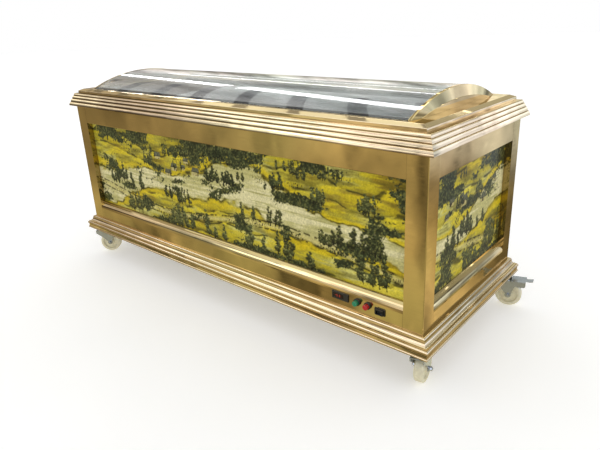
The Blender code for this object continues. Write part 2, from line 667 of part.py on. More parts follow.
def axle_bolt(name, pivot):
    """Axle through fork and wheel with a hexagon head and a hexagon nut outside the cheeks."""
    outer = FORK_INNER_WIDTH / 2 + FORK_SHEET + FIT_GAP
    across = Matrix.Rotation(math.radians(90), 4, "X")
    head = NUT_ACROSS / math.sqrt(3)
    half = outer + NUT_HEIGHT + BOLT_END
    bm = lathe([(0, -half), (AXLE_RADIUS, -half), (AXLE_RADIUS, half), (0, half)], BORE_SEGMENTS, across)
    for sign in (-1, 1):
        ends = sorted((sign * outer, sign * (outer + NUT_HEIGHT)))
        hexagon = lathe([(0, ends[0]), (head, ends[0]), (head, ends[1]), (0, ends[1])], 6, across)
        bm = combine(bm, hexagon, "UNION")
    place(f"axle_bolt_{name}", bm, "zinc_steel", (CASTOR_TRAIL, 0, WHEEL_RADIUS), pivot)


def brake_shoe():
    """Curved shoe that hangs over the tread under the pedal, as a plate on a short hanger."""
    wheel = (CASTOR_TRAIL, WHEEL_RADIUS)
    low = WHEEL_RADIUS + SHOE_CLEARANCE
    high = low + PEDAL_SHEET
    back, front = SHOE_HANGER
    outline = arc(wheel, low, SHOE_FROM, SHOE_TO, 4) + arc(wheel, high, SHOE_TO, front, 1)
    outline += [(outline[-1][0], PEDAL_HEEL[1]), (outline[-1][0] - PEDAL_SHEET, PEDAL_HEEL[1])]
    outline += arc(wheel, high, back, SHOE_FROM, 2)
    return prism(outline, lambda a, b, along: (a, along, b), -SHOE_HALF_WIDTH, SHOE_HALF_WIDTH)


def brake_pedal(name, pivot):
    """Stamped channel outside the fork's cheeks, with a treadle tongue, a shoe over the wheel and a pin."""
    px, pz = PEDAL_PIVOT
    heel_x, heel_z = PEDAL_HEEL
    toe_x, toe_z = PEDAL_TOE
    inner = FORK_INNER_WIDTH / 2 + FORK_SHEET + PEDAL_CLEARANCE
    outer = inner + PEDAL_SHEET
    side_view = lambda a, b, along: (a, along, b)
    flange = arc(PEDAL_PIVOT, PEDAL_BOSS, 180, 280, 4)
    toe_low = toe_z - PEDAL_FLANGE_DROP
    flange += [(toe_x - PEDAL_TOE_CUT, toe_low), (toe_x, toe_low + PEDAL_TOE_CUT)]
    flange += [PEDAL_TOE, PEDAL_HEEL, (px - PEDAL_BOSS, heel_z - PEDAL_SHEET)]
    channel = prism(flange, side_view, -outer, outer)
    reach = CASTOR_HEIGHT
    under_heel = heel_z - PEDAL_SHEET
    under_end = under_heel + (reach - heel_x) * (toe_z - heel_z) / (toe_x - heel_x)
    hollow = [(0, 0), (reach, 0), (reach, under_end), (heel_x, under_heel), (0, under_heel)]
    pedal = combine(channel, prism(hollow, side_view, -inner, inner), "DIFFERENCE")
    knee_x, knee_z = TONGUE_KNEE
    tip_x, tip_z = TONGUE_TIP
    root_z = heel_z + (TONGUE_ROOT - heel_x) * (toe_z - heel_z) / (toe_x - heel_x) - FILLET / 2
    tongue = [(TONGUE_ROOT, root_z), (knee_x, knee_z), (tip_x, tip_z)]
    tongue += [(tip_x, tip_z - PEDAL_SHEET), (knee_x, knee_z - PEDAL_SHEET)]
    tongue += [(TONGUE_ROOT, root_z - PEDAL_SHEET / 2)]
    pedal = combine(pedal, prism(tongue, side_view, -TONGUE_HALF_WIDTH, TONGUE_HALF_WIDTH), "UNION")
    pedal = combine(pedal, brake_shoe(), "UNION")
    across = Matrix.Translation((px, 0, pz)) @ Matrix.Rotation(math.radians(90), 4, "X")
    half = outer + PEDAL_SHEET / 2
    pin = lathe([(0, -half), (PEDAL_PIN, -half), (PEDAL_PIN, half), (0, half)], BORE_SEGMENTS, across)
    pedal = combine(pedal, pin, "UNION")
    bmesh.ops.translate(pedal, vec=(-px, 0, -pz), verts=pedal.verts[:])
    place(f"brake_pedal_{name}", pedal, "zinc_steel", (px, 0, pz), pivot, 32)


def castors():
    """Four castors; each hangs from an empty on its swivel axis, turned to the direction it trails in."""
    for name, sign_x, sign_y, heading in CASTORS:
        mount = (sign_x * CASTOR_X, sign_y * CASTOR_Y, 0)
        castor_plate(name, mount)
        pivot = bpy.data.objects.new(f"swivel_{name}", None)
        bpy.context.scene.collection.objects.link(pivot)
        pivot.location = mount
        pivot.rotation_euler = (0, 0, heading)
        castor_fork(name, pivot)
        castor_wheel(name, pivot)
        axle_bolt(name, pivot)
        brake_pedal(name, pivot)


def build():
    """Clear the scene and model every piece."""
    for obj in list(bpy.data.objects):
        bpy.data.objects.remove(obj, do_unlink=True)
    base_moulding()
    base_deck()
    corner_posts()
    rails()
    picture_panels()
    insulated_tub()
    cornice()
    lid_frame()
    canopy()
    end_caps()
    thermostat()
    push_button("green", GREEN_BUTTON_X, "green_plastic")
    push_button("red", RED_BUTTON_X, "red_plastic")
    power_inlet()
    castors()


build()
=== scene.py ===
"""Looks of a refrigerated coffin: a mirror-gold cabinet with printed landscape panels, a clear vaulted lid,
controls in the front lower rail and four braked castors. Laid out as a Blender add-on and run as a script."""

import json
import math
from functools import cache

import bpy
import numpy as np
from mathutils import Matrix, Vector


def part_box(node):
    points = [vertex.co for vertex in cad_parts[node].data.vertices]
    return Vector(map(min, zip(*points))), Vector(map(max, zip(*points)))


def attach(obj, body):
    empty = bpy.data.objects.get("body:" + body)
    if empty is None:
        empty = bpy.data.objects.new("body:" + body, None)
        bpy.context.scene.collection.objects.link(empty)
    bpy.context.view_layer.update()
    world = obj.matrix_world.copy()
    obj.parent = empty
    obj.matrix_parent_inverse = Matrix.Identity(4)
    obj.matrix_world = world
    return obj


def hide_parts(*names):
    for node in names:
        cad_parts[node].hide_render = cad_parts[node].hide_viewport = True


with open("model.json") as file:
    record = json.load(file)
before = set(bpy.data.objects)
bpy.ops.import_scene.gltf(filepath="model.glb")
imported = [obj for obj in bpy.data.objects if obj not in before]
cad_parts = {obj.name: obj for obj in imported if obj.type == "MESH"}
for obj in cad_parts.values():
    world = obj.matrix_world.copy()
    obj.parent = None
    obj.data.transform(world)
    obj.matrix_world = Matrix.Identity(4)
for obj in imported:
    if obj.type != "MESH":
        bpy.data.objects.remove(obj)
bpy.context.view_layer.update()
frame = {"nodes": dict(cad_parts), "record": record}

bl_info = {
    "name": "Refrigerated Coffin",
    "version": (1, 0, 0),
    "blender": (4, 5, 0),
    "location": "View3D > Sidebar > Coffin",
    "description": "Dresses the packed refrigerated coffin with its finishes, fine surfaces and studio",
    "category": "Object",
}

SIDES = ("front", "back", "right", "left")
CASTORS = ("front_right", "back_right", "front_left", "back_left")
# Each picture's seed, how wide its river is and how thick its woods are
PRINTS = {
    "front": (11, 0.55, 0.55),
    "back": (23, 0.45, 0.60),
    "right": (37, 0.30, 0.42),
    "left": (41, 0.50, 0.60),
}
# Rows of trees in a picture: height of their feet, size, how many to a picture's height, how many are kept
TREE_ROWS = (
    (0.84, 0.055, 5.0, 0.75),
    (0.66, 0.075, 3.6, 0.55),
    (0.34, 0.105, 3.0, 0.55),
    (0.04, 0.150, 2.6, 0.75),
)
GOLD_NODES = ["bottom_rail_" + s for s in SIDES] + ["top_rail_" + s for s in SIDES]
GOLD_NODES += ["corner_post_" + a + "_" + b for a in ("front", "back") for b in ("left", "right")]
FIT_GAP = 0.0003
# The cornice's steps from the top down: foot of each face out from the body, and height
CORNICE_STEPS = ((0.0045, 0.0135), (0.0120, 0.0160), (0.0195, 0.0175), (0.0280, 0.0195))
# Half the length and half the width of the opening under the vault
LID_OPENING = (0.955, 0.315)
ARCH_POINTS = 97
# Size of a painted cell of the short pictures as a share of the long ones' cells
SHORT_CELL = 0.72
# The camera's place and directions, its focal length and the foot of its axis in pixels of the photograph
CAMERA_PLACE = (1.872, -1.8965, 1.3113)
CAMERA_FORWARD = (-0.60685, 0.72077, -0.33499)
CAMERA_RIGHT = (0.77233, 0.63429, -0.03434)
FOCAL_PIXELS = 537.12
AXIS_PIXEL = (313.51, 207.6)
PICTURE_SIZE = (600, 450)
# Paints of the landscapes
PAINTS = {
    "sand": "#BDB34C",
    "straw": "#CFCB84",
    "earth": "#A08A2C",
    "lemon": "#DCCB30",
    "moss": "#7E7426",
    "hill line": "#48461F",
    "river": "#C9C38C",
    "bright river": "#E2DBB2",
    "ripple": "#A8A468",
    "bank": "#DAC524",
    "bank line": "#45401A",
    "road": "#D2C888",
    "road line": "#4C4420",
    "trunk": "#2E2A1C",
    "dark coat": "#2E2A20",
    "pale coat": "#A39A5C",
    "wall": "#C9BE86",
    "window": "#4A3E22",
    "tile": "#7B7C66",
    "eaves": "#2C2A20",
    "board": "#5A5038",
}
GREENS = ("#262E20", "#3C4630", "#5C6645", "#1C2418", "#7A7E50", "#444A28", "#929058")
# What the polished metal mirrors on the near side and the two far sides: rows of the direction's height, from
# -1 straight down to 1 straight up, and the linear red, green and blue of the room there
NEAR = (
    (-1.0, 0.50, 0.43, 0.24), (-0.45, 0.62, 0.55, 0.30), (-0.3, 0.67, 0.61, 0.35),
    (-0.08, 0.72, 0.65, 0.44), (0.06, 0.25, 0.21, 0.15), (0.14, 0.84, 0.83, 0.85),
    (0.24, 3.00, 3.10, 3.40), (0.31, 1.30, 1.35, 1.60), (0.38, 3.60, 3.70, 4.30),
    (0.46, 1.25, 1.27, 1.55), (0.56, 3.70, 3.80, 4.40), (0.72, 1.85, 1.90, 2.40),
    (1.0, 2.20, 2.30, 2.90),
)
FAR_LEFT = (
    (-1.0, 0.59, 0.52, 0.36), (-0.3, 0.68, 0.63, 0.44), (-0.1, 0.52, 0.50, 0.42),
    (0.08, 0.54, 0.51, 0.44), (0.18, 1.05, 1.04, 1.00), (0.35, 1.22, 1.22, 1.20),
    (1.0, 1.50, 1.50, 1.50),
)
FAR_RIGHT = (
    (-1.0, 0.67, 0.58, 0.39), (-0.5, 0.80, 0.73, 0.48), (-0.42, 0.70, 0.63, 0.37),
    (-0.36, 0.70, 0.61, 0.36), (-0.29, 0.55, 0.51, 0.40), (-0.23, 1.25, 1.38, 1.75),
    (-0.02, 1.15, 1.35, 1.90), (0.16, 1.50, 1.75, 2.50), (0.26, 0.59, 0.57, 0.60),
    (0.36, 2.10, 2.20, 2.60), (0.44, 0.46, 0.43, 0.45), (0.56, 2.10, 2.20, 2.50),
    (1.0, 1.80, 1.85, 2.10),
)
# Axis of the direction looked in and the range over which each change of the mirrored room runs from 0 to 1
ROOM_STEPS = {
    "height": ("Z", -1.0, 1.0),
    "far": ("Y", -0.25, 0.25),
    "right": ("X", 0.05, 0.25),
    "shade": ("X", -1.06, -0.66),
    "raised": ("Z", 0.10, 0.25),
    "lowered": ("Z", -0.18, -0.28),
}
# Upright patterns that multiply the room, as of people and goods in it: scale, detail, roughness and ramp
ROOM_PATTERNS = (
    (8.0, 5.0, 0.65, ((0.38, (0.3, 0.3, 0.3, 1)), (0.5, (1, 1, 1, 1)), (0.62, (1.8, 1.8, 1.8, 1)))),
    (5.0, 2.0, 0.50, ((0.40, (0.95, 1.01, 0.95, 1)), (0.5, (1, 1, 1, 1)), (0.60, (1.06, 0.98, 0.97, 1)))),
)
# Glowing strips under the ceiling: start, end, width, height, grey or colour, power
CEILING = {
    "near": ((-3.4, 0.2), (5.0, 0.2), 4.4, 3.0, "#E4E8E4", 2.2),
    "left": ((-8.0, 0.2), (-3.4, 0.2), 4.4, 3.0, "#E2DDD2", 1.0),
    "far": ((-8.0, 4.7), (5.0, 4.7), 4.6, 3.0, "#B9BDB8", 1.3),
    "tube_a": ((-7.6, 3.09), (-3.44, 2.15), 0.26, 2.95, "#FFFFFF", 9.0),
    "tube_b": ((-3.10, 2.07), (1.4, 1.00), 0.26, 2.95, "#FFFFFF", 9.0),
    "tube_c": ((-8.0, 4.95), (2.0, 2.55), 0.14, 2.95, "#FFFFFF", 5.0),
    "tube_d": ((-8.0, 6.30), (3.0, 3.66), 0.12, 2.95, "#FFFFFF", 4.0),
}
# Beams across the ceiling: how many, the first one's place and the distance to the next
BEAM_COUNT, BEAM_START, BEAM_STEP = 12, -7.65, 0.73
# Settings of the two kinds of colour blend
MIX = {"data_type": "RGBA", "blend_type": "MIX"}
TIMES = {"data_type": "RGBA", "blend_type": "MULTIPLY"}


def linear(hex_colour):
    """sRGB hex to linear RGBA: c / 12.92 below 0.04045, else ((c + 0.055) / 1.055) ** 2.4."""
    value = hex_colour.lstrip("#")
    out = []
    for i in (0, 2, 4):
        c = int(value[i : i + 2], 16) / 255
        out.append(c / 12.92 if c <= 0.04045 else ((c + 0.055) / 1.055) ** 2.4)
    return (*out, 1.0)


def paint(name):
    """One of the landscapes' paints as linear RGB."""
    return np.array(linear(PAINTS[name])[:3])


def colour_property(name, description, hex_colour):
    """A colour picker whose default is the hex value in linear terms."""
    return bpy.props.FloatVectorProperty(
        name=name, description=description, subtype="COLOR", size=4, min=0, max=1, default=linear(hex_colour)
    )


def length_property(name, description, default):
    """A length in metres."""
    return bpy.props.FloatProperty(
        name=name, description=description, unit="LENGTH", subtype="DISTANCE", min=0, default=default, precision=4
    )


class CoffinSizes(bpy.types.PropertyGroup):
    """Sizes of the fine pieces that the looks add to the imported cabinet."""

    print_cell: length_property("Print cell", "Size of one painted cell of the long picture panels", 0.0033)
    sheet_wave: length_property("Sheet wave", "Depth of the slow waves in the polished sheet", 0.00045)
    sheet_wave_size: length_property("Wave size", "Distance from one slow wave to the next", 0.22)
    strip_wave: length_property("Strip wave", "Depth of the short waves in the bent strips", 0.0010)
    strip_wave_size: length_property("Strip wave size", "Distance between the short waves", 1 / 11)
    arris: length_property("Arris", "Width of the eased edges of the sheet-metal members", 0.0012)
    acrylic: length_property("Acrylic", "Thickness of the clear vault", 0.006)
    tread_round: length_property("Tread rounding", "Radius at the edges of a castor's tread", 0.008)
    digit: length_property("Digit height", "Height of the figures in the display", 0.010)


class CoffinColours(bpy.types.PropertyGroup):
    """Colours of the finishes."""

    gold: colour_property("Gold", "Titanium-gold coating on polished stainless sheet", "#A8956A")
    # The strips' gold is paler than the sheet's: a painted highlight that whitens the mouldings' reflections
    strip_gold_painted_highlight: colour_property("Strip gold", "The same coating on the bent strips, a paler gold", "#B8A684")
    gold_tint: colour_property("Gold edge", "Colour of the coating at a grazing look", "#FFF2DA")
    steel: colour_property("Steel", "Stainless skin of the tub", "#C9CCCE")
    zinc: colour_property("Zinc", "Bright zinc plating of the castor frames", "#A6ACB0")
    nylon: colour_property("Nylon", "Natural nylon of the wheels", "#E6DFC0")
    acrylic: colour_property("Acrylic", "Clear acrylic of the vault", "#EEF3F2")
    black: colour_property("Black", "Moulded black plastic", "#17181A")
    green: colour_property("Green", "Green button", "#12805A")
    red: colour_property("Red", "Red button", "#B01822")
    floor: colour_property("Floor", "Plain studio floor", "#F6F6F5")


def sizes():
    """The size settings of the scene."""
    return bpy.context.scene.coffin_sizes


def colours():
    """The colour settings of the scene."""
    return bpy.context.scene.coffin_colours


def add_node(tree, kind, settings=None, inputs=None):
    """Add one shader node. settings are its properties, and stops the (position, colour) rows of a ramp. inputs
    are values, or what is linked in: a socket, or a node by the first of its outputs in use."""
    node = tree.nodes.new(kind)
    for key, value in (settings or {}).items():
        if key == "stops":
            elements = node.color_ramp.elements
            while len(elements) < len(value):
                elements.new(0.5)
            for element, (position, colour) in zip(elements, value):
                element.position = position
                element.color = colour
        else:
            setattr(node, key, value)
    for key, value in (inputs or {}).items():
        if isinstance(value, bpy.types.Node):
            value = next(output for output in value.outputs if output.enabled)
        if isinstance(value, bpy.types.NodeSocket):
            tree.links.new(value, node.inputs[key])
        else:
            node.inputs[key].default_value = value
    return node


def new_material(name, values):
    """A material with a Principled shader that has these values on its own sockets; gives it, its nodes and the
    shader."""
    material = bpy.data.materials.new(name)
    material.use_nodes = True
    shader = material.node_tree.nodes["Principled BSDF"]
    for key, value in values.items():
        shader.inputs[key].default_value = value
    return material, material.node_tree, shader


def object_noise(tree, scale, detail=2.0, stretch=(1, 1, 1)):
    """Noise on Object coordinates, scale in cycles per metre."""
    place = add_node(tree, "ShaderNodeTexCoord").outputs["Object"]
    mapping = add_node(tree, "ShaderNodeMapping", inputs={"Vector": place, "Scale": stretch})
    inputs = {"Vector": mapping, "Scale": scale, "Detail": detail, "Roughness": 0.5}
    return add_node(tree, "ShaderNodeTexNoise", inputs=inputs).outputs["Fac"]


def shades(colour, dark, light):
    """A linear colour times each of two factors."""
    return [(*(c * factor for c in colour[:3]), 1.0) for factor in (dark, light)]


def vary(tree, shader, pattern, tones=None, haze=None, span=(0.3, 0.7)):
    """Over the span of a pattern, take the base colour from one tone to another and the roughness from one value
    to another."""
    if tones:
        colour = add_node(tree, "ShaderNodeValToRGB", {"stops": list(zip(span, tones))}, {"Fac": pattern})
        tree.links.new(colour.outputs["Color"], shader.inputs["Base Color"])
    if haze:
        ends = {"From Min": span[0], "From Max": span[1], "To Min": haze[0], "To Max": haze[1]}
        rough = add_node(tree, "ShaderNodeMapRange", inputs={"Value": pattern, **ends})
        tree.links.new(rough.outputs["Result"], shader.inputs["Roughness"])


def emboss(tree, shader, pattern, depth, strength=1.0):
    """Raise a pattern by a depth in metres, on top of what is embossed already."""
    inputs = {"Height": pattern, "Strength": strength, "Distance": depth}
    for link in shader.inputs["Normal"].links:
        inputs["Normal"] = link.from_socket
    bump = add_node(tree, "ShaderNodeBump", inputs=inputs)
    tree.links.new(bump.outputs["Normal"], shader.inputs["Normal"])


def gold_steel(name, coating):
    """Stainless sheet polished to a mirror and coated titanium gold: sharp reflections that bend over slow waves
    in the sheet, with fine wiping marks that dull them a little."""
    values = {"Metallic": 1.0, "Specular Tint": tuple(colours().gold_tint)}
    material, tree, shader = new_material(name, values)
    vary(tree, shader, object_noise(tree, 3.5, 3.0), shades(coating, 0.88, 1.10))
    vary(tree, shader, object_noise(tree, 60.0, 4.0, (0.25, 0.25, 1.6)), haze=(0.03, 0.10), span=(0.3, 0.8))
    emboss(tree, shader, object_noise(tree, 1 / sizes().sheet_wave_size, 1.0), sizes().sheet_wave * 4)
    return material, tree, shader


@cache
def mirror_sheet():
    """The gold sheet of posts, rails and end caps."""
    return gold_steel("titanium_gold_mirror_steel", colours().gold)[0]


@cache
def bent_strip():
    """The same gold sheet bent into the narrow strips of the mouldings, made paler as a painted highlight so that
    their reflections read whiter, with the shorter waves that bending leaves, 90 mm from one to the next."""
    material, tree, shader = gold_steel("titanium_gold_bent_strip", colours().strip_gold_painted_highlight)
    emboss(tree, shader, object_noise(tree, 1 / sizes().strip_wave_size, 0.0), sizes().strip_wave)
    return material


@cache
def brushed_stainless():
    """Stainless sheet brushed along its length: a soft sheen with hair-fine lines, drawn 2 mm apart to show."""
    material, tree, shader = new_material("brushed_stainless_steel", {"Metallic": 1.0})
    lines = object_noise(tree, 500.0, 2.0, (0.02, 1.0, 1.0))
    vary(tree, shader, lines, shades(colours().steel, 0.80, 1.0), (0.22, 0.36))
    return material


@cache
def zinc_plate():
    """Bright zinc plating on pressed steel: pale bluish metal with the cloudy spangle of the bath, under the thin
    milky passivation film that keeps it from being all metal."""
    material, tree, shader = new_material("bright_zinc_plate", {"Metallic": 0.65})
    vary(tree, shader, object_noise(tree, 120.0, 4.0), shades(colours().zinc, 0.84, 1.0), (0.12, 0.24))
    return material


def moulded_plastic(name, colour, roughness, grain):
    """Injection-moulded plastic: an even colour with a fine spark-eroded grain, 1.2 mm so that it shows."""
    material, tree, shader = new_material(name, {"Roughness": roughness})
    speck = object_noise(tree, 800.0, 2.0)
    vary(tree, shader, speck, shades(colour, 0.86, 1.08))
    emboss(tree, shader, speck, grain, 0.5)
    return material


def new_object(name, vertices, faces, material, body, sharp=None):
    """Make a mesh object at the origin from arrays of vertices and faces and ride it on its body."""
    mesh = bpy.data.meshes.new(name)
    mesh.from_pydata(np.asarray(vertices, float).tolist(), [], np.asarray(faces, int).tolist())
    mesh.materials.append(material)
    mesh.polygons.foreach_set("use_smooth", np.ones(len(mesh.polygons), bool))
    if sharp:
        mesh.set_sharp_from_angle(angle=math.radians(sharp))
    mesh.update()
    obj = bpy.data.objects.new(name, mesh)
    bpy.context.scene.collection.objects.link(obj)
    if body:
        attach(obj, body)
    return obj


def grid_faces(rows, columns, wrap_rows=False, wrap_columns=False, start=0):
    """Quads of a rows by columns grid numbered row by row, joined end to end where asked."""
    i = np.arange(rows if wrap_rows else rows - 1)[:, None]
    j = np.arange(columns if wrap_columns else columns - 1)[None, :]
    right, down = (j + 1) % columns, (i + 1) % rows * columns
    corners = [i * columns + j, i * columns + right, down + right, down + j]
    return np.stack(corners, axis=-1).reshape(-1, 4) + start


def arc(centre, radius, start, end, count):
    """Points on a circle from the start to the end angle in degrees, one per row."""
    turn = np.radians(np.linspace(start, end, count))
    return np.stack([centre[0] + radius * np.cos(turn), centre[1] + radius * np.sin(turn)], axis=1)


def joined(parts):
    """One outline from parts that are each rows of points."""
    return np.concatenate([np.asarray(part, float) for part in parts])


def swept_ring(profile, half_x, half_y):
    """A closed profile of (offset, z) carried round a rectangle with mitred corners: the corner at signs (sx, sy)
    is (sx (half_x + offset), sy (half_y + offset), z)."""
    signs = np.array([(-1, -1), (1, -1), (1, 1), (-1, 1)])
    x = signs[:, 0, None] * (half_x + profile[None, :, 0])
    y = signs[:, 1, None] * (half_y + profile[None, :, 0])
    z = np.broadcast_to(profile[None, :, 1], x.shape)
    vertices = np.stack([x, y, z], axis=-1).reshape(-1, 3)
    return vertices, grid_faces(4, len(profile), True, True)


def soften(name, width):
    """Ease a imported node's arrises: its loose triangles are welded, then bevelled by width."""
    obj = frame["nodes"][name]
    obj.modifiers.new("weld", "WELD").merge_threshold = 0.00005
    bevel = obj.modifiers.new("arris", "BEVEL")
    bevel.width = width
    bevel.segments = 2
    bevel.limit_method = "ANGLE"
    bevel.angle_limit = math.radians(35)


def finish_node(name, material):
    """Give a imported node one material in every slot."""
    mesh = frame["nodes"][name].data
    if not mesh.materials:
        mesh.materials.append(material)
    for index in range(len(mesh.materials)):
        mesh.materials[index] = material


class COFFIN_OT_cabinet(bpy.types.Operator):
    """Posts and rails of mirror-gold sheet with eased edges, and the brushed stainless tub and deck"""

    bl_idname = "coffin.cabinet"
    bl_label = "Cabinet frame and tub"

    def execute(self, context):
        for name in GOLD_NODES:
            finish_node(name, mirror_sheet())
            soften(name, sizes().arris)
        for name in ("insulated_tub", "base_deck"):
            finish_node(name, brushed_stainless())
            soften(name, sizes().arris)
        return {"FINISHED"}


class COFFIN_OT_mouldings(bpy.types.Operator):
    """Base moulding and stepped cornice, each a smooth profile carried round the cabinet"""

    bl_idname = "coffin.mouldings"
    bl_label = "Mouldings"

    def execute(self, context):
        self.base()
        self.cornice()
        return {"FINISHED"}

    def base(self):
        """Bead, cove, torus and foot band one under the other, as offsets out from the body."""
        low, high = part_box("base_moulding")
        overhang, bead, cove, torus, foot = 0.040, 0.0085, 0.0190, 0.0090, 0.0050
        half_x, half_y = high.x - overhang, high.y - overhang
        top, bottom = high.z, low.z
        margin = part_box("base_deck")[1].x + FIT_GAP - half_x
        parts = [
            [(margin, bottom), (margin, top)],
            arc((0.0055, top - bead), bead, 90, 0, 14),
            [(0.0140, top - 0.0115), (0.0150, top - 0.0115)],
            arc((0.0345, top - 0.0120), cove, 185, 265, 16),
            [(0.0330, top - 0.0325)],
            arc((0.0310, top - 0.0415), torus, 80, -80, 20),
            [(0.0330, top - 0.0515), (0.0360, top - 0.0515), (0.0360, top - 0.0625)],
            arc((0.0350, bottom + 0.0055), foot, 80, -60, 12),
            [(0.0345, bottom)],
        ]
        vertices, faces = swept_ring(joined(parts)[::-1], half_x, half_y)
        piece = new_object("base_moulding_fine", vertices, faces, bent_strip(), "cabinet", 30)
        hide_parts("base_moulding")

    def cornice(self):
        """Steps with a round nose and a face that leans back: along the face at t it swells out square to itself
        by 4 t (1 - t) times the bulge, and a quirk parts it from the next step."""
        low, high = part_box("cornice")
        inner, radius, quirk, ease, lean, bulge = -0.040, 0.0045, 0.0012, 0.0015, math.radians(17), 0.0006
        widest = CORNICE_STEPS[-1][0]
        z, bottom = high.z, low.z
        parts = [[(inner, bottom), (inner, z)]]
        for face, height in CORNICE_STEPS:
            fall = height - radius + radius * math.sin(lean) - quirk
            across = face - fall * math.tan(lean) - radius * math.cos(lean)
            nose = arc((across, z - radius), radius, 90, math.degrees(lean), 12)
            z -= height
            foot = np.array([face, z + quirk])
            t = np.linspace(0, 1, 10)[1:, None]
            swell = 4 * t * (1 - t) * bulge * np.array([math.cos(lean), math.sin(lean)])
            parts += [nose, nose[-1] + t * (foot - nose[-1]) + swell]
            if face < widest:
                parts.append([(face - quirk, z)])
        parts.append([(widest, bottom + ease), (widest - ease, bottom)])
        vertices, faces = swept_ring(joined(parts)[::-1], high.x - widest, high.y - widest)
        piece = new_object("cornice_fine", vertices, faces, bent_strip(), "cabinet", 30)
        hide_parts("cornice")


def arch_rows(x, half_width, rise, foot):
    """Rows of points over circular arches: radius (w^2 + h^2) / 2h, the turn t runs evenly from foot to foot,
    y = r sin t, z = foot + r cos t - (r - h)."""
    x, half_width, rise = (np.asarray(v, float)[:, None] for v in (x, half_width, rise))
    radius = (half_width**2 + rise**2) / (2 * rise)
    reach = np.arcsin(half_width / radius)
    turn = reach * np.linspace(-1, 1, ARCH_POINTS)[None, :]
    y = radius * np.sin(turn)
    z = foot + radius * np.cos(turn) - (radius - rise)
    return np.stack([np.broadcast_to(x, y.shape), y, z], axis=-1)


def clear_acrylic():
    """Clear cast acrylic, polished: see-through with a faint grey cast, sharp highlights and slow waves."""
    values = {"Base Color": tuple(colours().acrylic), "Roughness": 0.02, "IOR": 1.49, "Transmission Weight": 1.0}
    material, tree, shader = new_material("clear_cast_acrylic", values)
    emboss(tree, shader, object_noise(tree, 5.0, 1.0, (0.4, 1.0, 1.0)), 0.0008, 0.4)
    return material


class COFFIN_OT_lid(bpy.types.Operator):
    """Lid: polished frame with a sloped margin, clear vaulted sheet and the two bevelled gold end caps"""

    bl_idname = "coffin.lid"
    bl_label = "Lid"

    def execute(self, context):
        low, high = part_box("lid_frame")
        half_x, half_y, top, bottom = high.x, high.y, high.z, low.z
        edge, radius, slope, ease = 0.014, 0.003, 0.022, 0.0005
        inner = LID_OPENING[0] - half_x
        parts = [
            [(inner, bottom), (0.0, bottom)],
            arc((-radius, bottom + edge - radius), radius, 0, 70, 8),
            [(-slope + ease, top - 0.0003), (-slope - ease, top), (inner, top)],
        ]
        vertices, faces = swept_ring(joined(parts), half_x, half_y)
        rim = np.isclose(np.abs(vertices[:, 0]), LID_OPENING[0])
        vertices[rim, 1] = np.sign(vertices[rim, 1]) * LID_OPENING[1]
        piece = new_object("lid_frame_fine", vertices, faces, bent_strip(), "cabinet", 12)
        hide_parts("lid_frame")
        self.vault()
        for side, sign in (("left", -1), ("right", 1)):
            self.end_cap(side, sign)
        return {"FINISHED"}

    def vault(self):
        """Clear sheet between an outer and an inner circular arch, one grid wrapped round the wall."""
        low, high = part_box("canopy")
        foot, rise, half = low.z, high.z - low.z, high.y
        thick = sizes().acrylic
        radius = (half**2 + rise**2) / (2 * rise)
        inner_half = math.sqrt((radius - thick) ** 2 - (radius - rise) ** 2)
        rows = 41
        x = np.linspace(low.x, high.x, rows)
        outer = arch_rows(x, np.full(rows, half), np.full(rows, rise), foot)
        inner = arch_rows(x, np.full(rows, inner_half), np.full(rows, rise - thick), foot)
        section = np.concatenate([outer, inner[:, ::-1]], axis=1)
        columns = 2 * ARCH_POINTS
        i = np.arange(ARCH_POINTS - 1)
        end = np.stack([i, columns - 1 - i, columns - 2 - i, i + 1], axis=-1)
        far_end = end + (rows - 1) * columns
        faces = np.concatenate([grid_faces(rows, columns, False, True)[:, ::-1], end[:, ::-1], far_end])
        piece = new_object("vault_clear", section.reshape(-1, 3), faces, clear_acrylic(), "cabinet", 30)
        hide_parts("canopy")

    def end_cap(self, side, sign):
        """Sheet-metal cap: arches at five stations from the rim over the bevel to the lunette's edge, then the
        chord at the lunette's foot. The rows run out over the skin and back over a lining one sheet inside, and
        two strips close the feet."""
        low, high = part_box("end_cap_" + side)
        start, tip = (low.x, high.x) if sign > 0 else (high.x, low.x)
        foot, half, rise, length = low.z, high.y, high.z - low.z, abs(tip - start)
        rim, ease, sheet, lunette_half, lunette_rise = 0.012, 0.0012, 0.002, 0.2882, 0.0332
        x = start + sign * np.array([0, rim - ease, rim, length - ease, length])
        halves = np.array([half, half, half - ease * 0.6, lunette_half, lunette_half - 0.0020])
        rises = np.array([rise, rise, rise - ease * 0.6, lunette_rise, lunette_rise - 0.0012])
        setback = sign * np.array([0, 0, 0, sheet, sheet])
        skin = arch_rows(x, halves, rises, foot)
        lining = arch_rows(x - setback, halves - sheet, rises - sheet, foot)
        chords = np.stack([skin[-1], lining[-1]])
        chords[..., 2] = foot
        points = np.concatenate([skin, chords, lining[::-1]])
        faces = [grid_faces(len(points), ARCH_POINTS, True)]
        station = np.arange(len(x))
        for column in (0, ARCH_POINTS - 1):
            out = station * ARCH_POINTS + column
            back = (len(points) - 1 - station) * ARCH_POINTS + column
            strip = np.stack([out, out + ARCH_POINTS, back - ARCH_POINTS, back], axis=-1)
            faces.append(strip[:, ::-1] if column else strip)
        faces = np.concatenate(faces)[:, ::sign]
        name = "end_cap_fine_" + side
        piece = new_object(name, points.reshape(-1, 3), faces, mirror_sheet(), "cabinet", 20)
        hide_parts("end_cap_" + side)


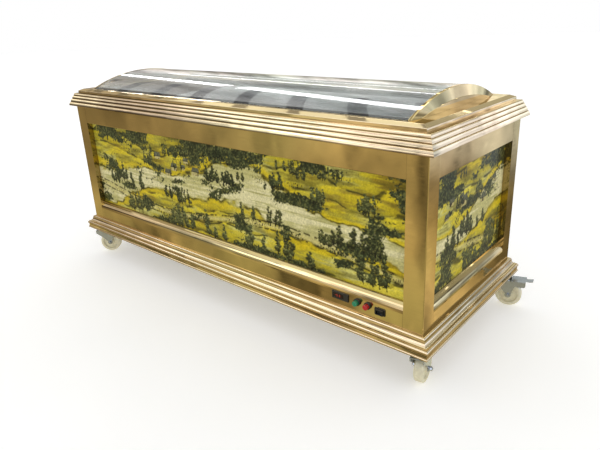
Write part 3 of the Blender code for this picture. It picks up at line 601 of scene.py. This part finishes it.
def lattice_noise(x, y, seed):
    """Smooth value noise: a hashed random number at each whole-number point, blended by 3t^2 - 2t^3."""
    x0, y0 = np.floor(x).astype(np.int64), np.floor(y).astype(np.int64)
    tx, ty = x - x0, y - y0
    tx, ty = tx * tx * (3 - 2 * tx), ty * ty * (3 - 2 * ty)

    def value(i, j):
        h = (i * 374761393 + j * 668265263 + seed * 1442695041) & 0xFFFFFFFF
        h = ((h ^ (h >> 13)) * 1274126177) & 0xFFFFFFFF
        return ((h ^ (h >> 16)) & 0xFFFF) / 65535.0

    low = value(x0, y0) * (1 - tx) + value(x0 + 1, y0) * tx
    high = value(x0, y0 + 1) * (1 - tx) + value(x0 + 1, y0 + 1) * tx
    return low * (1 - ty) + high * ty


def layered_noise(x, y, seed, layers):
    """Sum of lattice noises, each half as strong and twice as fine as the last, scaled to 0..1."""
    total, weight = 0.0, 0.0
    for k in range(layers):
        total = total + lattice_noise(x * 2**k, y * 2**k, seed + 17 * k) / 2**k
        weight += 1 / 2**k
    return total / weight


def mix(base, name, amount):
    """Blend an image towards one paint by an amount per point."""
    amount = np.clip(amount, 0, 1)[..., None]
    return base * (1 - amount) + paint(name) * amount


def smooth_step(low, high, value):
    """0 below low, 1 above high, 3t^2 - 2t^3 between."""
    t = np.clip((value - low) / (high - low), 0, 1)
    return t * t * (3 - 2 * t)


def cell_dabs(x, y, seed):
    """Distance to the nearest of one jittered point per unit square, and that point's own random number: the
    nine squares round each place are tried in turn."""
    x0, y0 = np.floor(x), np.floor(y)
    best = np.full(x.shape, 9.0)
    tone = np.zeros(x.shape)
    for i in (-1, 0, 1):
        for j in (-1, 0, 1):
            cx, cy = x0 + i, y0 + j
            px = cx + 0.15 + 0.7 * lattice_noise(cx, cy, seed)
            py = cy + 0.15 + 0.7 * lattice_noise(cx, cy, seed + 3)
            d = np.hypot(x - px, y - py)
            near = d < best
            best = np.where(near, d, best)
            tone = np.where(near, lattice_noise(cx, cy, seed + 7), tone)
    return best, tone


def foliage(x, y, seed, tones):
    """Leaf dabs about 7 mm across: each cell leans to one of the tones and darkens towards its rim."""
    best, tone = cell_dabs(x / 0.007, y / 0.0075, seed)
    leaves = np.array([linear(t)[:3] for t in tones])
    image = 0.55 * leaves[np.clip((tone * len(tones)).astype(int), 0, len(tones) - 1)] + 0.45 * leaves.mean(0)
    return image * (1.10 - 0.38 * smooth_step(0.25, 0.75, best))[..., None]


def paint_tree(image, x, y, px, py, size, tones, seed):
    """One ink-and-wash tree group: two to five trees side by side, each a stack of round lobes that narrows
    upwards. A place belongs to the lobe whose scaled distance is least. Leaf dabs fill it, light on the lobe's
    upper side and inky below, with a leafy edge from noise, on thin trunks."""
    rng = np.random.default_rng(seed)
    near = (np.abs(x - px) < size * 1.6) & (y > py - size * 0.4) & (y < py + size * 2.0)
    if not near.any():
        return
    gx, gy = x[near], y[near]
    patch = image[near]
    rough = layered_noise(gx * 130, gy * 130, seed, 3) - 0.5
    field = np.full(gx.shape, 9.0)
    lift = np.zeros(gx.shape)
    for tree in np.linspace(-0.72, 0.72, rng.integers(2, 6)):
        tx = px + (tree + rng.uniform(-0.15, 0.15)) * size
        tall = size * rng.uniform(0.85, 1.65)
        wide = size * rng.uniform(0.26, 0.44)
        lean = rng.uniform(-0.15, 0.15)
        stem = np.abs(gx - tx - lean * (gy - py)) < 0.0024
        patch[stem & (gy > py - size * 0.25) & (gy < py + tall * 0.5)] = paint("trunk")
        for level in np.linspace(0.15, 0.95, 6):
            r = wide * (1.0 - 0.58 * level) * rng.uniform(0.75, 1.25)
            cx = tx + lean * tall * level + rng.uniform(-0.55, 0.55) * wide * (1 - level * 0.6)
            cy = py + tall * level
            d = np.hypot(gx - cx, (gy - cy) * 1.15) / r
            lift = np.where(d < field, (gy - cy) / r, lift)
            field = np.minimum(field, d)
    cover = ((1 - smooth_step(0.78, 1.06, field + rough * 1.1)) * 0.95)[:, None]
    leaf = foliage(gx, gy, seed, tones) * (0.45 + 1.15 * smooth_step(-0.6, 0.8, lift))[:, None]
    image[near] = patch * (1 - cover) + leaf * cover


def paint_roof(image, x, y, px, py, wide, seed):
    """A plain cottage seen from above its front: a grey tiled roof with a curved ridge over a pale wall."""
    rng = np.random.default_rng(seed)
    u, v = (x - px) / wide, (y - py) / wide
    sag = np.minimum(u * u, 0.4)
    slope = 0.5 - 0.34 * v + 0.10 * sag
    roof = (np.abs(u - 0.12 * v) < slope) & (v > 0) & (v < 0.42 + 0.08 * sag)
    wall = (np.abs(u) < 0.40) & (v <= 0) & (v > -0.28)
    tile = lattice_noise(u * 22, v * 5, seed)
    image[wall] = paint("wall") * rng.uniform(0.75, 1.0)
    image[wall & (lattice_noise(u * 9, v * 2, seed + 1) > 0.62)] = paint("window")
    image[roof] = paint("tile") * (0.45 + 0.8 * tile[roof])[:, None]
    image[roof & (v < 0.05)] = paint("eaves")


def paint_ground(u, v, seed, water):
    """Ground and river of the landscape: layered washes, stepped like low hills along the lines of a slow noise
    added to height, each line inked in broken strokes. A river band runs round a sum of sines, with ripple lines
    and inked yellow banks."""
    wash = layered_noise(u * 1.9, v * 4.0, seed, 4)
    streak = layered_noise(u * 5 + v * 1.2, v * 30, seed + 5, 3)
    image = np.full(u.shape + (3,), paint("sand"))
    image = mix(image, "straw", smooth_step(0.50, 0.70, wash))
    image = mix(image, "earth", smooth_step(0.50, 0.28, wash) * 0.85)
    image = mix(image, "lemon", smooth_step(0.46, 0.66, streak) * 0.70)
    image = mix(image, "moss", smooth_step(0.46, 0.28, streak) * 0.55)
    hill = v * 5.5 + 2.2 * layered_noise(u * 1.5, v * 2.6, seed + 41, 4)
    step = hill - np.floor(hill)
    image = image * (0.72 + 0.42 * step)[..., None]
    broken = smooth_step(0.42, 0.58, lattice_noise(u * 11, v * 16, seed + 43))
    stroke = 1 - smooth_step(0.03, 0.10, np.minimum(step, 1 - step))
    image = mix(image, "hill line", stroke * broken * 0.8)
    middle = 0.44 + 0.15 * np.sin(u * 1.35 + seed) + 0.06 * np.sin(u * 3.9 + 2.1 * seed)
    reach = 0.09 + 0.13 * water + 0.06 * np.sin(u * 2.3 + 1.3 * seed)
    side = (v - middle) / reach
    edge = (layered_noise(u * 8, v * 12, seed + 9, 4) - 0.5) * 0.75
    cover = 1 - smooth_step(0.82, 0.98, np.abs(side) + edge)
    ripple = layered_noise(u * 2.5, v * 60, seed + 3, 3)
    image = mix(image, "river", cover)
    image = mix(image, "bright river", cover * smooth_step(0.40, 0.62, wash + (ripple - 0.5) * 0.5) * 0.9)
    image = mix(image, "ripple", cover * smooth_step(0.46, 0.22, ripple) * 0.5)
    for sign in (-1, 1):
        bank = np.exp(-(((side * sign - 1.22 + edge) / 0.22) ** 2))
        image = mix(image, "bank", bank * 0.8)
        ink = np.exp(-(((side * sign - 0.98 + edge) / 0.08) ** 2)) * smooth_step(0.36, 0.56, streak)
        image = mix(image, "bank line", ink * 0.9)
    return image


def paint_landscape(x, y, width, height, seed, water, wood):
    """A generic river valley in ochre, lemon and grey-green, as a linear image. x runs 0..width and y 0..height
    in metres. Over the ground come a road with walkers, a hamlet of plain roofs, thickets where slow noise passes
    a threshold that falls towards the top, and tree groups that grow in size towards the foot. water widens the
    river and wood thickens the trees."""
    u, v = x / height, y / height
    image = paint_ground(u, v, seed, water)
    road = 0.22 + 0.09 * np.sin(u * 1.8 + 0.7 * seed + 1.0) - v
    image = mix(image, "road", np.exp(-((road / 0.024) ** 2)) * 0.9)
    rim = np.exp(-(((np.abs(road) - 0.036) / 0.009) ** 2))
    image = mix(image, "road line", rim * smooth_step(0.35, 0.6, lattice_noise(u * 40, v * 40, seed + 8)))
    for band, low, high in ((road, 0.035, 0.46), (v - 0.72, 0.06, 0.62)):
        spot, tone = cell_dabs(x / 0.010, y / 0.014, seed + 21)
        folk = (spot < 0.26) & (np.abs(band) < low) & (lattice_noise(u * 5, v * 5, seed + 2) > high)
        image[folk] = np.where(tone[folk, None] > 0.45, paint("dark coat"), paint("pale coat"))
    leaves = foliage(x, y, seed + 50, GREENS)
    grove = layered_noise(u * 3.2, v * 6.5, seed + 31, 4)
    dense = grove + 0.16 * smooth_step(0.66, 0.95, v) + 0.10 * smooth_step(0.14, 0.0, v) + 0.14 * (wood - 0.5)
    cover = smooth_step(0.64, 0.68, dense + (layered_noise(x * 130, y * 130, seed + 12, 3) - 0.5) * 0.22)
    leaves = leaves * (0.65 + 0.6 * layered_noise(u * 14, v * 18, seed + 33, 2))[..., None]
    image = image * (1 - cover[..., None]) + leaves * cover[..., None]
    rng = np.random.default_rng(seed)
    hamlet = rng.uniform(0.35, 0.65) * width
    for k in range(int(6 + 3 * wood)):
        px = hamlet + rng.uniform(-0.45, 0.45) * height * 1.3
        py = (0.62 + rng.uniform(-0.06, 0.14)) * height
        paint_roof(image, x, y, px, py, height * rng.uniform(0.08, 0.13), seed + k)
    for level, size, density, keep in TREE_ROWS:
        count = int(width / height * density) + 1
        for k in range(count):
            if rng.uniform() > keep + 0.5 * (wood - 0.5):
                continue
            px = (0.035 + 0.93 * (k + 0.5 + rng.uniform(-0.45, 0.45)) / count) * width
            py = (level + rng.uniform(-0.05, 0.05)) * height
            scale = size * rng.uniform(0.75, 1.35) * height
            tones = [GREENS[i] for i in rng.permutation(len(GREENS))[:5]]
            paint_tree(image, x, y, px, py, scale, tones, int(rng.integers(1, 9999)))
    grain = layered_noise(x * 200, y * 200, seed + 70, 2) - 0.5
    image = image * (1 + grain[..., None] * 0.5)
    return np.clip(image * 1.08, 0, 1) ** 1.28


@cache
def printed_panel():
    """Picture printed on board under a clear gloss sheet: the print's colours with a sharp clear coat."""
    values = {"Roughness": 0.45, "Specular IOR Level": 0.12, "Coat Weight": 0.08, "Coat Roughness": 0.08}
    material, tree, shader = new_material("printed_gloss_panel", values)
    picture = add_node(tree, "ShaderNodeAttribute", {"attribute_name": "print"})
    fibre = {"stops": ((0.3, (0.8, 0.8, 0.8, 1)), (0.7, (1, 1, 1, 1)))}
    tone = add_node(tree, "ShaderNodeValToRGB", fibre, {"Fac": object_noise(tree, 420.0, 3.0)})
    printed = add_node(tree, "ShaderNodeMix", TIMES, {0: 1.0, 6: picture, 7: tone})
    tree.links.new(printed.outputs[2], shader.inputs["Base Color"])
    return material


class COFFIN_OT_pictures(bpy.types.Operator):
    """Four picture panels, each a grid whose points carry the colours of a painted landscape"""

    bl_idname = "coffin.pictures"
    bl_label = "Picture panels"

    def execute(self, context):
        for side in SIDES:
            self.panel(side)
        return {"FINISHED"}

    def panel(self, side):
        """A flat face of points (along, up) at the panel's front: corner + along * direction, up from the foot,
        closed by a skirt one thickness inwards and a back."""
        low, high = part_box("picture_panel_" + side)
        long_side = side in ("front", "back")
        width, thick = high.x - low.x, high.y - low.y
        if not long_side:
            width, thick = thick, width
        height = high.z - low.z
        cell = sizes().print_cell * (1.0 if long_side else SHORT_CELL)
        columns, rows = int(width / cell) + 1, int(height / cell) + 1
        along = np.linspace(0, width, columns)[None, :].repeat(rows, 0)
        up = np.linspace(0, height, rows)[:, None].repeat(columns, 1)
        image = paint_landscape(along, up, width, height, *PRINTS[side])
        (x, y), (dx, dy) = {
            "front": ((low.x, low.y), (1, 0)),
            "back": ((high.x, high.y), (-1, 0)),
            "right": ((high.x, low.y), (0, 1)),
            "left": ((low.x, high.y), (0, -1)),
        }[side]
        points = np.stack([x + along * dx, y + along * dy, low.z + up], axis=-1).reshape(-1, 3)
        edges = (
            np.arange(columns),
            np.arange(1, rows) * columns + columns - 1,
            (rows - 1) * columns + np.arange(columns - 2, -1, -1),
            np.arange(rows - 2, 0, -1) * columns,
        )
        rim = np.concatenate(edges)
        hem = points[rim] + np.array([-dy * thick, dx * thick, 0])
        total = len(points)
        i = np.arange(len(rim))
        j = (i + 1) % len(rim)
        skirt = np.stack([rim[i], total + i, total + j, rim[j]], axis=-1)
        vertices = np.concatenate([points, hem])
        back = list(range(total + len(rim) - 1, total - 1, -1))
        mesh = bpy.data.meshes.new("picture_" + side)
        mesh.from_pydata(vertices.tolist(), [], grid_faces(rows, columns).tolist() + skirt.tolist() + [back])
        mesh.materials.append(printed_panel())
        colour = np.ones((len(vertices), 4), np.float32)
        colour[:total, :3] = image.reshape(-1, 3)
        colour[total:, :3] = paint("board")
        layer = mesh.attributes.new("print", "FLOAT_COLOR", "POINT")
        layer.data.foreach_set("color", colour.ravel())
        obj = bpy.data.objects.new("picture_" + side, mesh)
        bpy.context.scene.collection.objects.link(obj)
        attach(obj, "cabinet")
        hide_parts("picture_panel_" + side)


def seven_segment(text, left, bottom, height, y):
    """Boxes for the lit bars of plain figures. Each bar is a box 14 percent of the height thick, between two
    corners (across, up) in heights, and the pen moves on by a figure's width and a gap."""
    wide, thick = 0.52, 0.14
    bars = {
        "a": (0, 1 - thick, wide, 1),
        "c": (wide - thick, 0, wide, 0.5),
        "d": (0, 0, wide, thick),
        "b": (wide - thick, 0.5, wide, 1),
        "e": (0, 0, thick, 0.5),
        "f": (0, 0.5, thick, 1),
        "g": (0.02, 0.43, 0.50, 0.57),
        ".": (0, 0, 0.16, thick),
    }
    vertices, faces = [], []
    for letter in text:
        for bar in {"0": "abcdef", "5": "afgcd"}.get(letter, "g" if letter == "-" else letter):
            x0, z0, x1, z1 = bars[bar]
            base = len(vertices)
            for depth in (0.0, -0.0002):
                corners = ((x0, z0), (x1, z0), (x1, z1), (x0, z1))
                vertices += [(left + a * height, y + depth, bottom + b * height) for a, b in corners]
            quads = [(3, 2, 1, 0), (4, 5, 6, 7), (1, 5, 4, 0), (2, 6, 5, 1), (3, 7, 6, 2), (0, 4, 7, 3)]
            faces += [[base + k for k in quad] for quad in quads]
        left += height * (wide * (0.5 if letter == "." else 1.0) + thick * 1.6)
    return vertices, faces


class COFFIN_OT_controls(bpy.types.Operator):
    """Thermostat with lit figures, green and red buttons in their bezels, and the mains inlet"""

    bl_idname = "coffin.controls"
    bl_label = "Controls"

    def execute(self, context):
        black = moulded_plastic("black_abs_moulded", colours().black, 0.38, 0.00006)
        for name in ("thermostat_case", "power_inlet"):
            finish_node(name, black)
            soften(name, 0.0004)
        # Smoked acrylic: a dark red window that shows only what glows behind it
        smoked, tree, shader = new_material("smoked_display_acrylic", {"Roughness": 0.06})
        vary(tree, shader, object_noise(tree, 300.0, 2.0), (linear("#120606"), linear("#1E0A0A")))
        finish_node("thermostat_window", smoked)
        finish_node("green_button", moulded_plastic("green_button_plastic", colours().green, 0.22, 0.00003))
        finish_node("red_button", moulded_plastic("red_button_plastic", colours().red, 0.22, 0.00003))
        for name in ("green", "red"):
            finish_node(name + "_bezel", black)
            soften(name + "_button", 0.0004)
            soften(name + "_bezel", 0.0003)
        low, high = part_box("thermostat_window")
        margin, height = 0.008, sizes().digit
        bottom = (low.z + high.z) / 2 - height / 2
        vertices, faces = seven_segment("-5.0", low.x + margin, bottom, height, low.y)
        # Lit bars of a light-emitting display, a dull red glow
        glow = {"Emission Color": linear("#D83A28"), "Emission Strength": 0.25}
        lamp, tree, shader = new_material("red_led_segment", glow)
        vary(tree, shader, object_noise(tree, 900.0, 1.0), (linear("#8A2218"), linear("#B03A28")))
        figures = new_object("display_figures", vertices, faces, lamp, "cabinet", 30)
        return {"FINISHED"}


def turned(profile, segments, centre, axis):
    """A closed outline of (radius, along) spun about an axis through centre: the point at turn t is
    centre + along * axis + radius (cos t * p + sin t * q), with p and q square to the axis."""
    profile = np.asarray(profile, float)
    axis = np.asarray(axis, float)
    p = np.array([0, 0, 1.0])
    q = np.cross(axis, p)
    turn = np.linspace(0, 2 * math.pi, segments, endpoint=False)[:, None, None]
    ring = np.cos(turn) * p + np.sin(turn) * q
    points = np.asarray(centre) + profile[None, :, 1, None] * axis + profile[None, :, 0, None] * ring
    return points.reshape(-1, 3), grid_faces(segments, len(profile), True, True)


class COFFIN_OT_castors(bpy.types.Operator):
    """Castors: smooth nylon wheels, and zinc-plated forks, plates, bolts and pedals"""

    bl_idname = "coffin.castors"
    bl_label = "Castors"

    def execute(self, context):
        joints = {joint["name"]: joint for joint in frame["record"]["behaviour"]["joints"]}
        nylon = self.nylon()
        for name in CASTORS:
            for part in ("castor_plate_", "castor_fork_", "axle_bolt_", "brake_pedal_"):
                finish_node(part + name, zinc_plate())
                soften(part + name, 0.0006)
            joint = joints["wheel_" + name + "_spin"]
            self.wheel(name, joint["pos_m"], joint["axis"], nylon)
        return {"FINISHED"}

    def nylon(self):
        """Cast nylon, turned: creamy, waxy and slightly see-through at its edges."""
        values = {"Roughness": 0.38, "IOR": 1.53}
        values.update({"Subsurface Weight": 0.15, "Subsurface Radius": (0.004, 0.003, 0.002)})
        material, tree, shader = new_material("natural_cast_nylon", values)
        cloud = object_noise(tree, 90.0, 4.0)
        vary(tree, shader, cloud, shades(colours().nylon, 0.82, 1.0))
        emboss(tree, shader, cloud, 0.0002, 0.3)
        return material

    def wheel(self, name, centre, axis, material):
        """Turned profile of bore, hub, web, rim and tread, mirrored about the middle."""
        radius, half, hub, web = 0.0585, 0.019, 0.022, 0.009
        edge = sizes().tread_round
        side = [(0.0054, hub), (0.0160, hub), (0.0170, hub - 0.001), (0.0182, web + 0.001), (0.0192, web)]
        side += [(0.0398, web), (0.0408, web + 0.001), (0.0424, half - 0.001), (0.0432, half)]
        side = np.concatenate([np.asarray(side), arc((radius - edge, half - edge), edge, 90, 0, 8)])
        profile = np.concatenate([side, side[::-1] * (1, -1)])
        vertices, faces = turned(profile, 96, centre, axis)
        piece = new_object("wheel_fine_" + name, vertices, faces[:, ::-1], material, "wheel_" + name, 40)
        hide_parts("castor_wheel_" + name)


class COFFIN_OT_stage(bpy.types.Operator):
    """Plain pale floor, the room that the polished metal mirrors, and the camera at the photograph's angle"""

    bl_idname = "coffin.stage"
    bl_label = "Studio"

    def execute(self, context):
        self.camera()
        self.floor()
        self.surround()
        self.ceiling()
        context.scene.view_settings.view_transform = "Standard"
        return {"FINISHED"}

    def camera(self):
        """Camera solved from the photograph's perspective of the cabinet's corners."""
        data = bpy.data.cameras.new("camera")
        camera = bpy.data.objects.new("camera", data)
        bpy.context.scene.collection.objects.link(camera)
        forward, right = np.array(CAMERA_FORWARD), np.array(CAMERA_RIGHT)
        back = -forward / np.linalg.norm(forward)
        right = right - back * right.dot(back)
        right /= np.linalg.norm(right)
        up = np.cross(back, right)
        matrix = Matrix([list(row) for row in np.stack([right, up, back], axis=1)]).to_4x4()
        matrix.translation = CAMERA_PLACE
        camera.matrix_world = matrix
        (wide, high), (x, y) = PICTURE_SIZE, AXIS_PIXEL
        data.sensor_width = 36.0
        data.lens = FOCAL_PIXELS / wide * data.sensor_width
        data.shift_x = -(x - wide / 2) / wide
        data.shift_y = -(high / 2 - y) / wide
        data.clip_start, data.clip_end = 0.05, 200
        bpy.context.scene.camera = camera

    def floor(self):
        """A flat disc of floor, 60 m across, in a pale matt finish with faint mottling. Polished metal mirrors the
        surround in its place."""
        values = {"Roughness": 0.75, "Emission Color": (1, 1, 1, 1), "Emission Strength": 0.30}
        material, tree, shader = new_material("pale_matt_floor", values)
        vary(tree, shader, object_noise(tree, 1.5, 2.0), shades(colours().floor, 0.97, 1.0))
        radius, count = 30, 64
        turn = np.linspace(0, 2 * math.pi, count, endpoint=False)
        ring = np.stack([radius * np.cos(turn), radius * np.sin(turn), np.zeros(count)], axis=1)
        i = np.arange(count)
        faces = np.stack([np.full(count, count), i, (i + 1) % count], axis=-1)
        obj = new_object("studio_floor", [*ring, (0, 0, 0)], faces, material, None)
        obj.visible_glossy = False
        obj.visible_transmission = False

    def surround(self):
        """A plain white surround behind the coffin, even soft light on matt surfaces, and for every mirrored look
        a room of light. Its colour is a ramp over the direction's height, one each for the near side, the far left
        and the far right, blended over the direction's other parts. The near side falls into shade towards -X, near
        the horizon only. Upright noise multiplies the whole."""
        world = bpy.data.worlds.new("studio")
        bpy.context.scene.world = world
        world.use_nodes = True
        tree = world.node_tree
        place = add_node(tree, "ShaderNodeTexCoord").outputs["Generated"]
        split = add_node(tree, "ShaderNodeSeparateXYZ", inputs={"Vector": place})
        step = {}
        for name, (axis, start, end) in ROOM_STEPS.items():
            inputs = {"Value": split.outputs[axis], "From Min": start, "From Max": end}
            step[name] = add_node(tree, "ShaderNodeMapRange", inputs=inputs)
        sides = []
        for rows in (NEAR, FAR_LEFT, FAR_RIGHT):
            stops = [((z + 1) / 2, (*tone, 1.0)) for z, *tone in rows]
            sides.append(add_node(tree, "ShaderNodeValToRGB", {"stops": stops}, {"Fac": step["height"]}))
        shade = step["shade"]
        for lit in ("raised", "lowered"):
            shade = add_node(tree, "ShaderNodeMath", {"operation": "MAXIMUM"}, {0: shade, 1: step[lit]})
        near = add_node(tree, "ShaderNodeMix", TIMES, {0: 1.0, 6: sides[0], 7: shade})
        far = add_node(tree, "ShaderNodeMix", MIX, {0: step["right"], 6: sides[1], 7: sides[2]})
        room = add_node(tree, "ShaderNodeMix", MIX, {0: step["far"], 6: near, 7: far})
        bands = add_node(tree, "ShaderNodeMapping", inputs={"Vector": place, "Scale": (1.0, 1.0, 0.22)})
        for scale, detail, rough, stops in ROOM_PATTERNS:
            inputs = {"Vector": bands, "Scale": scale, "Detail": detail, "Roughness": rough}
            noise = add_node(tree, "ShaderNodeTexNoise", inputs=inputs)
            tone = add_node(tree, "ShaderNodeValToRGB", {"stops": stops}, {"Fac": noise})
            room = add_node(tree, "ShaderNodeMix", TIMES, {0: 1.0, 6: room, 7: tone})
        path = add_node(tree, "ShaderNodeLightPath").outputs
        rays = {0: path["Is Glossy Ray"], 1: path["Is Transmission Ray"]}
        mirrored = add_node(tree, "ShaderNodeMath", {"operation": "MAXIMUM"}, rays)
        light = add_node(tree, "ShaderNodeMix", MIX, {0: mirrored, 6: (0.8, 0.8, 0.8, 1), 7: room})
        light = add_node(tree, "ShaderNodeMix", MIX, {0: path["Is Camera Ray"], 6: light, 7: (1, 1, 1, 1)})
        tree.links.new(light.outputs[2], tree.nodes["Background"].inputs["Color"])

    def ceiling(self):
        """A ceiling 3 m up that only reflections see: a pale field crossed by beams, darker over its dim left part,
        and rows of white tubes that run 14 degrees askew of the coffin, the nearest with a gap between two."""
        for name, (start, end, width, height, tone, power) in CEILING.items():
            self.lamp_strip("ceiling_" + name, start, end, width, height, linear(tone), power)
        for k in range(BEAM_COUNT):
            x = BEAM_START + BEAM_STEP * k
            dark = 0.55 if x > CEILING["near"][0][0] else 0.28
            ends = (x - 0.18, 1.9), (x + 0.42, 0.5)
            self.lamp_strip("ceiling_beam_" + str(k), *ends, 0.20, 2.97, (dark, dark, dark, 1), 1.0)

    def lamp_strip(self, name, start, end, width, height, colour, power):
        """One flat glowing strip facing down: its corners are the ends plus and minus half the width times the
        direction square to the strip."""
        values = {"Base Color": (0, 0, 0, 1), "Emission Color": colour, "Emission Strength": power}
        material = new_material(name, values)[0]
        start, end = np.asarray(start), np.asarray(end)
        along = (end - start) / np.linalg.norm(end - start)
        across = np.array([-along[1], along[0]]) * width / 2
        flat = np.stack([start - across, end - across, end + across, start + across])
        corners = np.concatenate([flat, np.full((4, 1), height)], axis=1)
        obj = new_object(name, corners, [(3, 2, 1, 0)], material, None)
        obj.visible_camera = False
        obj.visible_diffuse = False
        obj.visible_transmission = False
        obj.visible_shadow = False


class COFFIN_PT_panel(bpy.types.Panel):
    """Sizes, colours and operators of the coffin's looks"""

    bl_label = "Coffin"
    bl_idname = "COFFIN_PT_panel"
    bl_space_type = "VIEW_3D"
    bl_region_type = "UI"
    bl_category = "Coffin"

    def draw(self, context):
        layout = self.layout
        for group in (sizes(), colours()):
            box = layout.box()
            for key in group.bl_rna.properties.keys():
                if key not in ("rna_type", "name"):
                    box.prop(group, key)
        for operator in OPERATORS:
            layout.operator(operator.bl_idname)


OPERATORS = (
    COFFIN_OT_cabinet,
    COFFIN_OT_mouldings,
    COFFIN_OT_lid,
    COFFIN_OT_pictures,
    COFFIN_OT_controls,
    COFFIN_OT_castors,
    COFFIN_OT_stage,
)
CLASSES = (CoffinSizes, CoffinColours, *OPERATORS, COFFIN_PT_panel)


def register():
    """Register the classes and hang the settings on the scene."""
    for cls in CLASSES:
        bpy.utils.register_class(cls)
    bpy.types.Scene.coffin_sizes = bpy.props.PointerProperty(type=CoffinSizes)
    bpy.types.Scene.coffin_colours = bpy.props.PointerProperty(type=CoffinColours)


def unregister():
    """Take the settings and classes away again."""
    del bpy.types.Scene.coffin_colours
    del bpy.types.Scene.coffin_sizes
    for cls in reversed(CLASSES):
        bpy.utils.unregister_class(cls)


def main():
    """Dress the frame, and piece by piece."""
    register()
    bpy.ops.coffin.cabinet()
    bpy.ops.coffin.mouldings()
    bpy.ops.coffin.lid()
    bpy.ops.coffin.pictures()
    bpy.ops.coffin.controls()
    bpy.ops.coffin.castors()
    bpy.ops.coffin.stage()


if __name__ == "__main__":
    main()
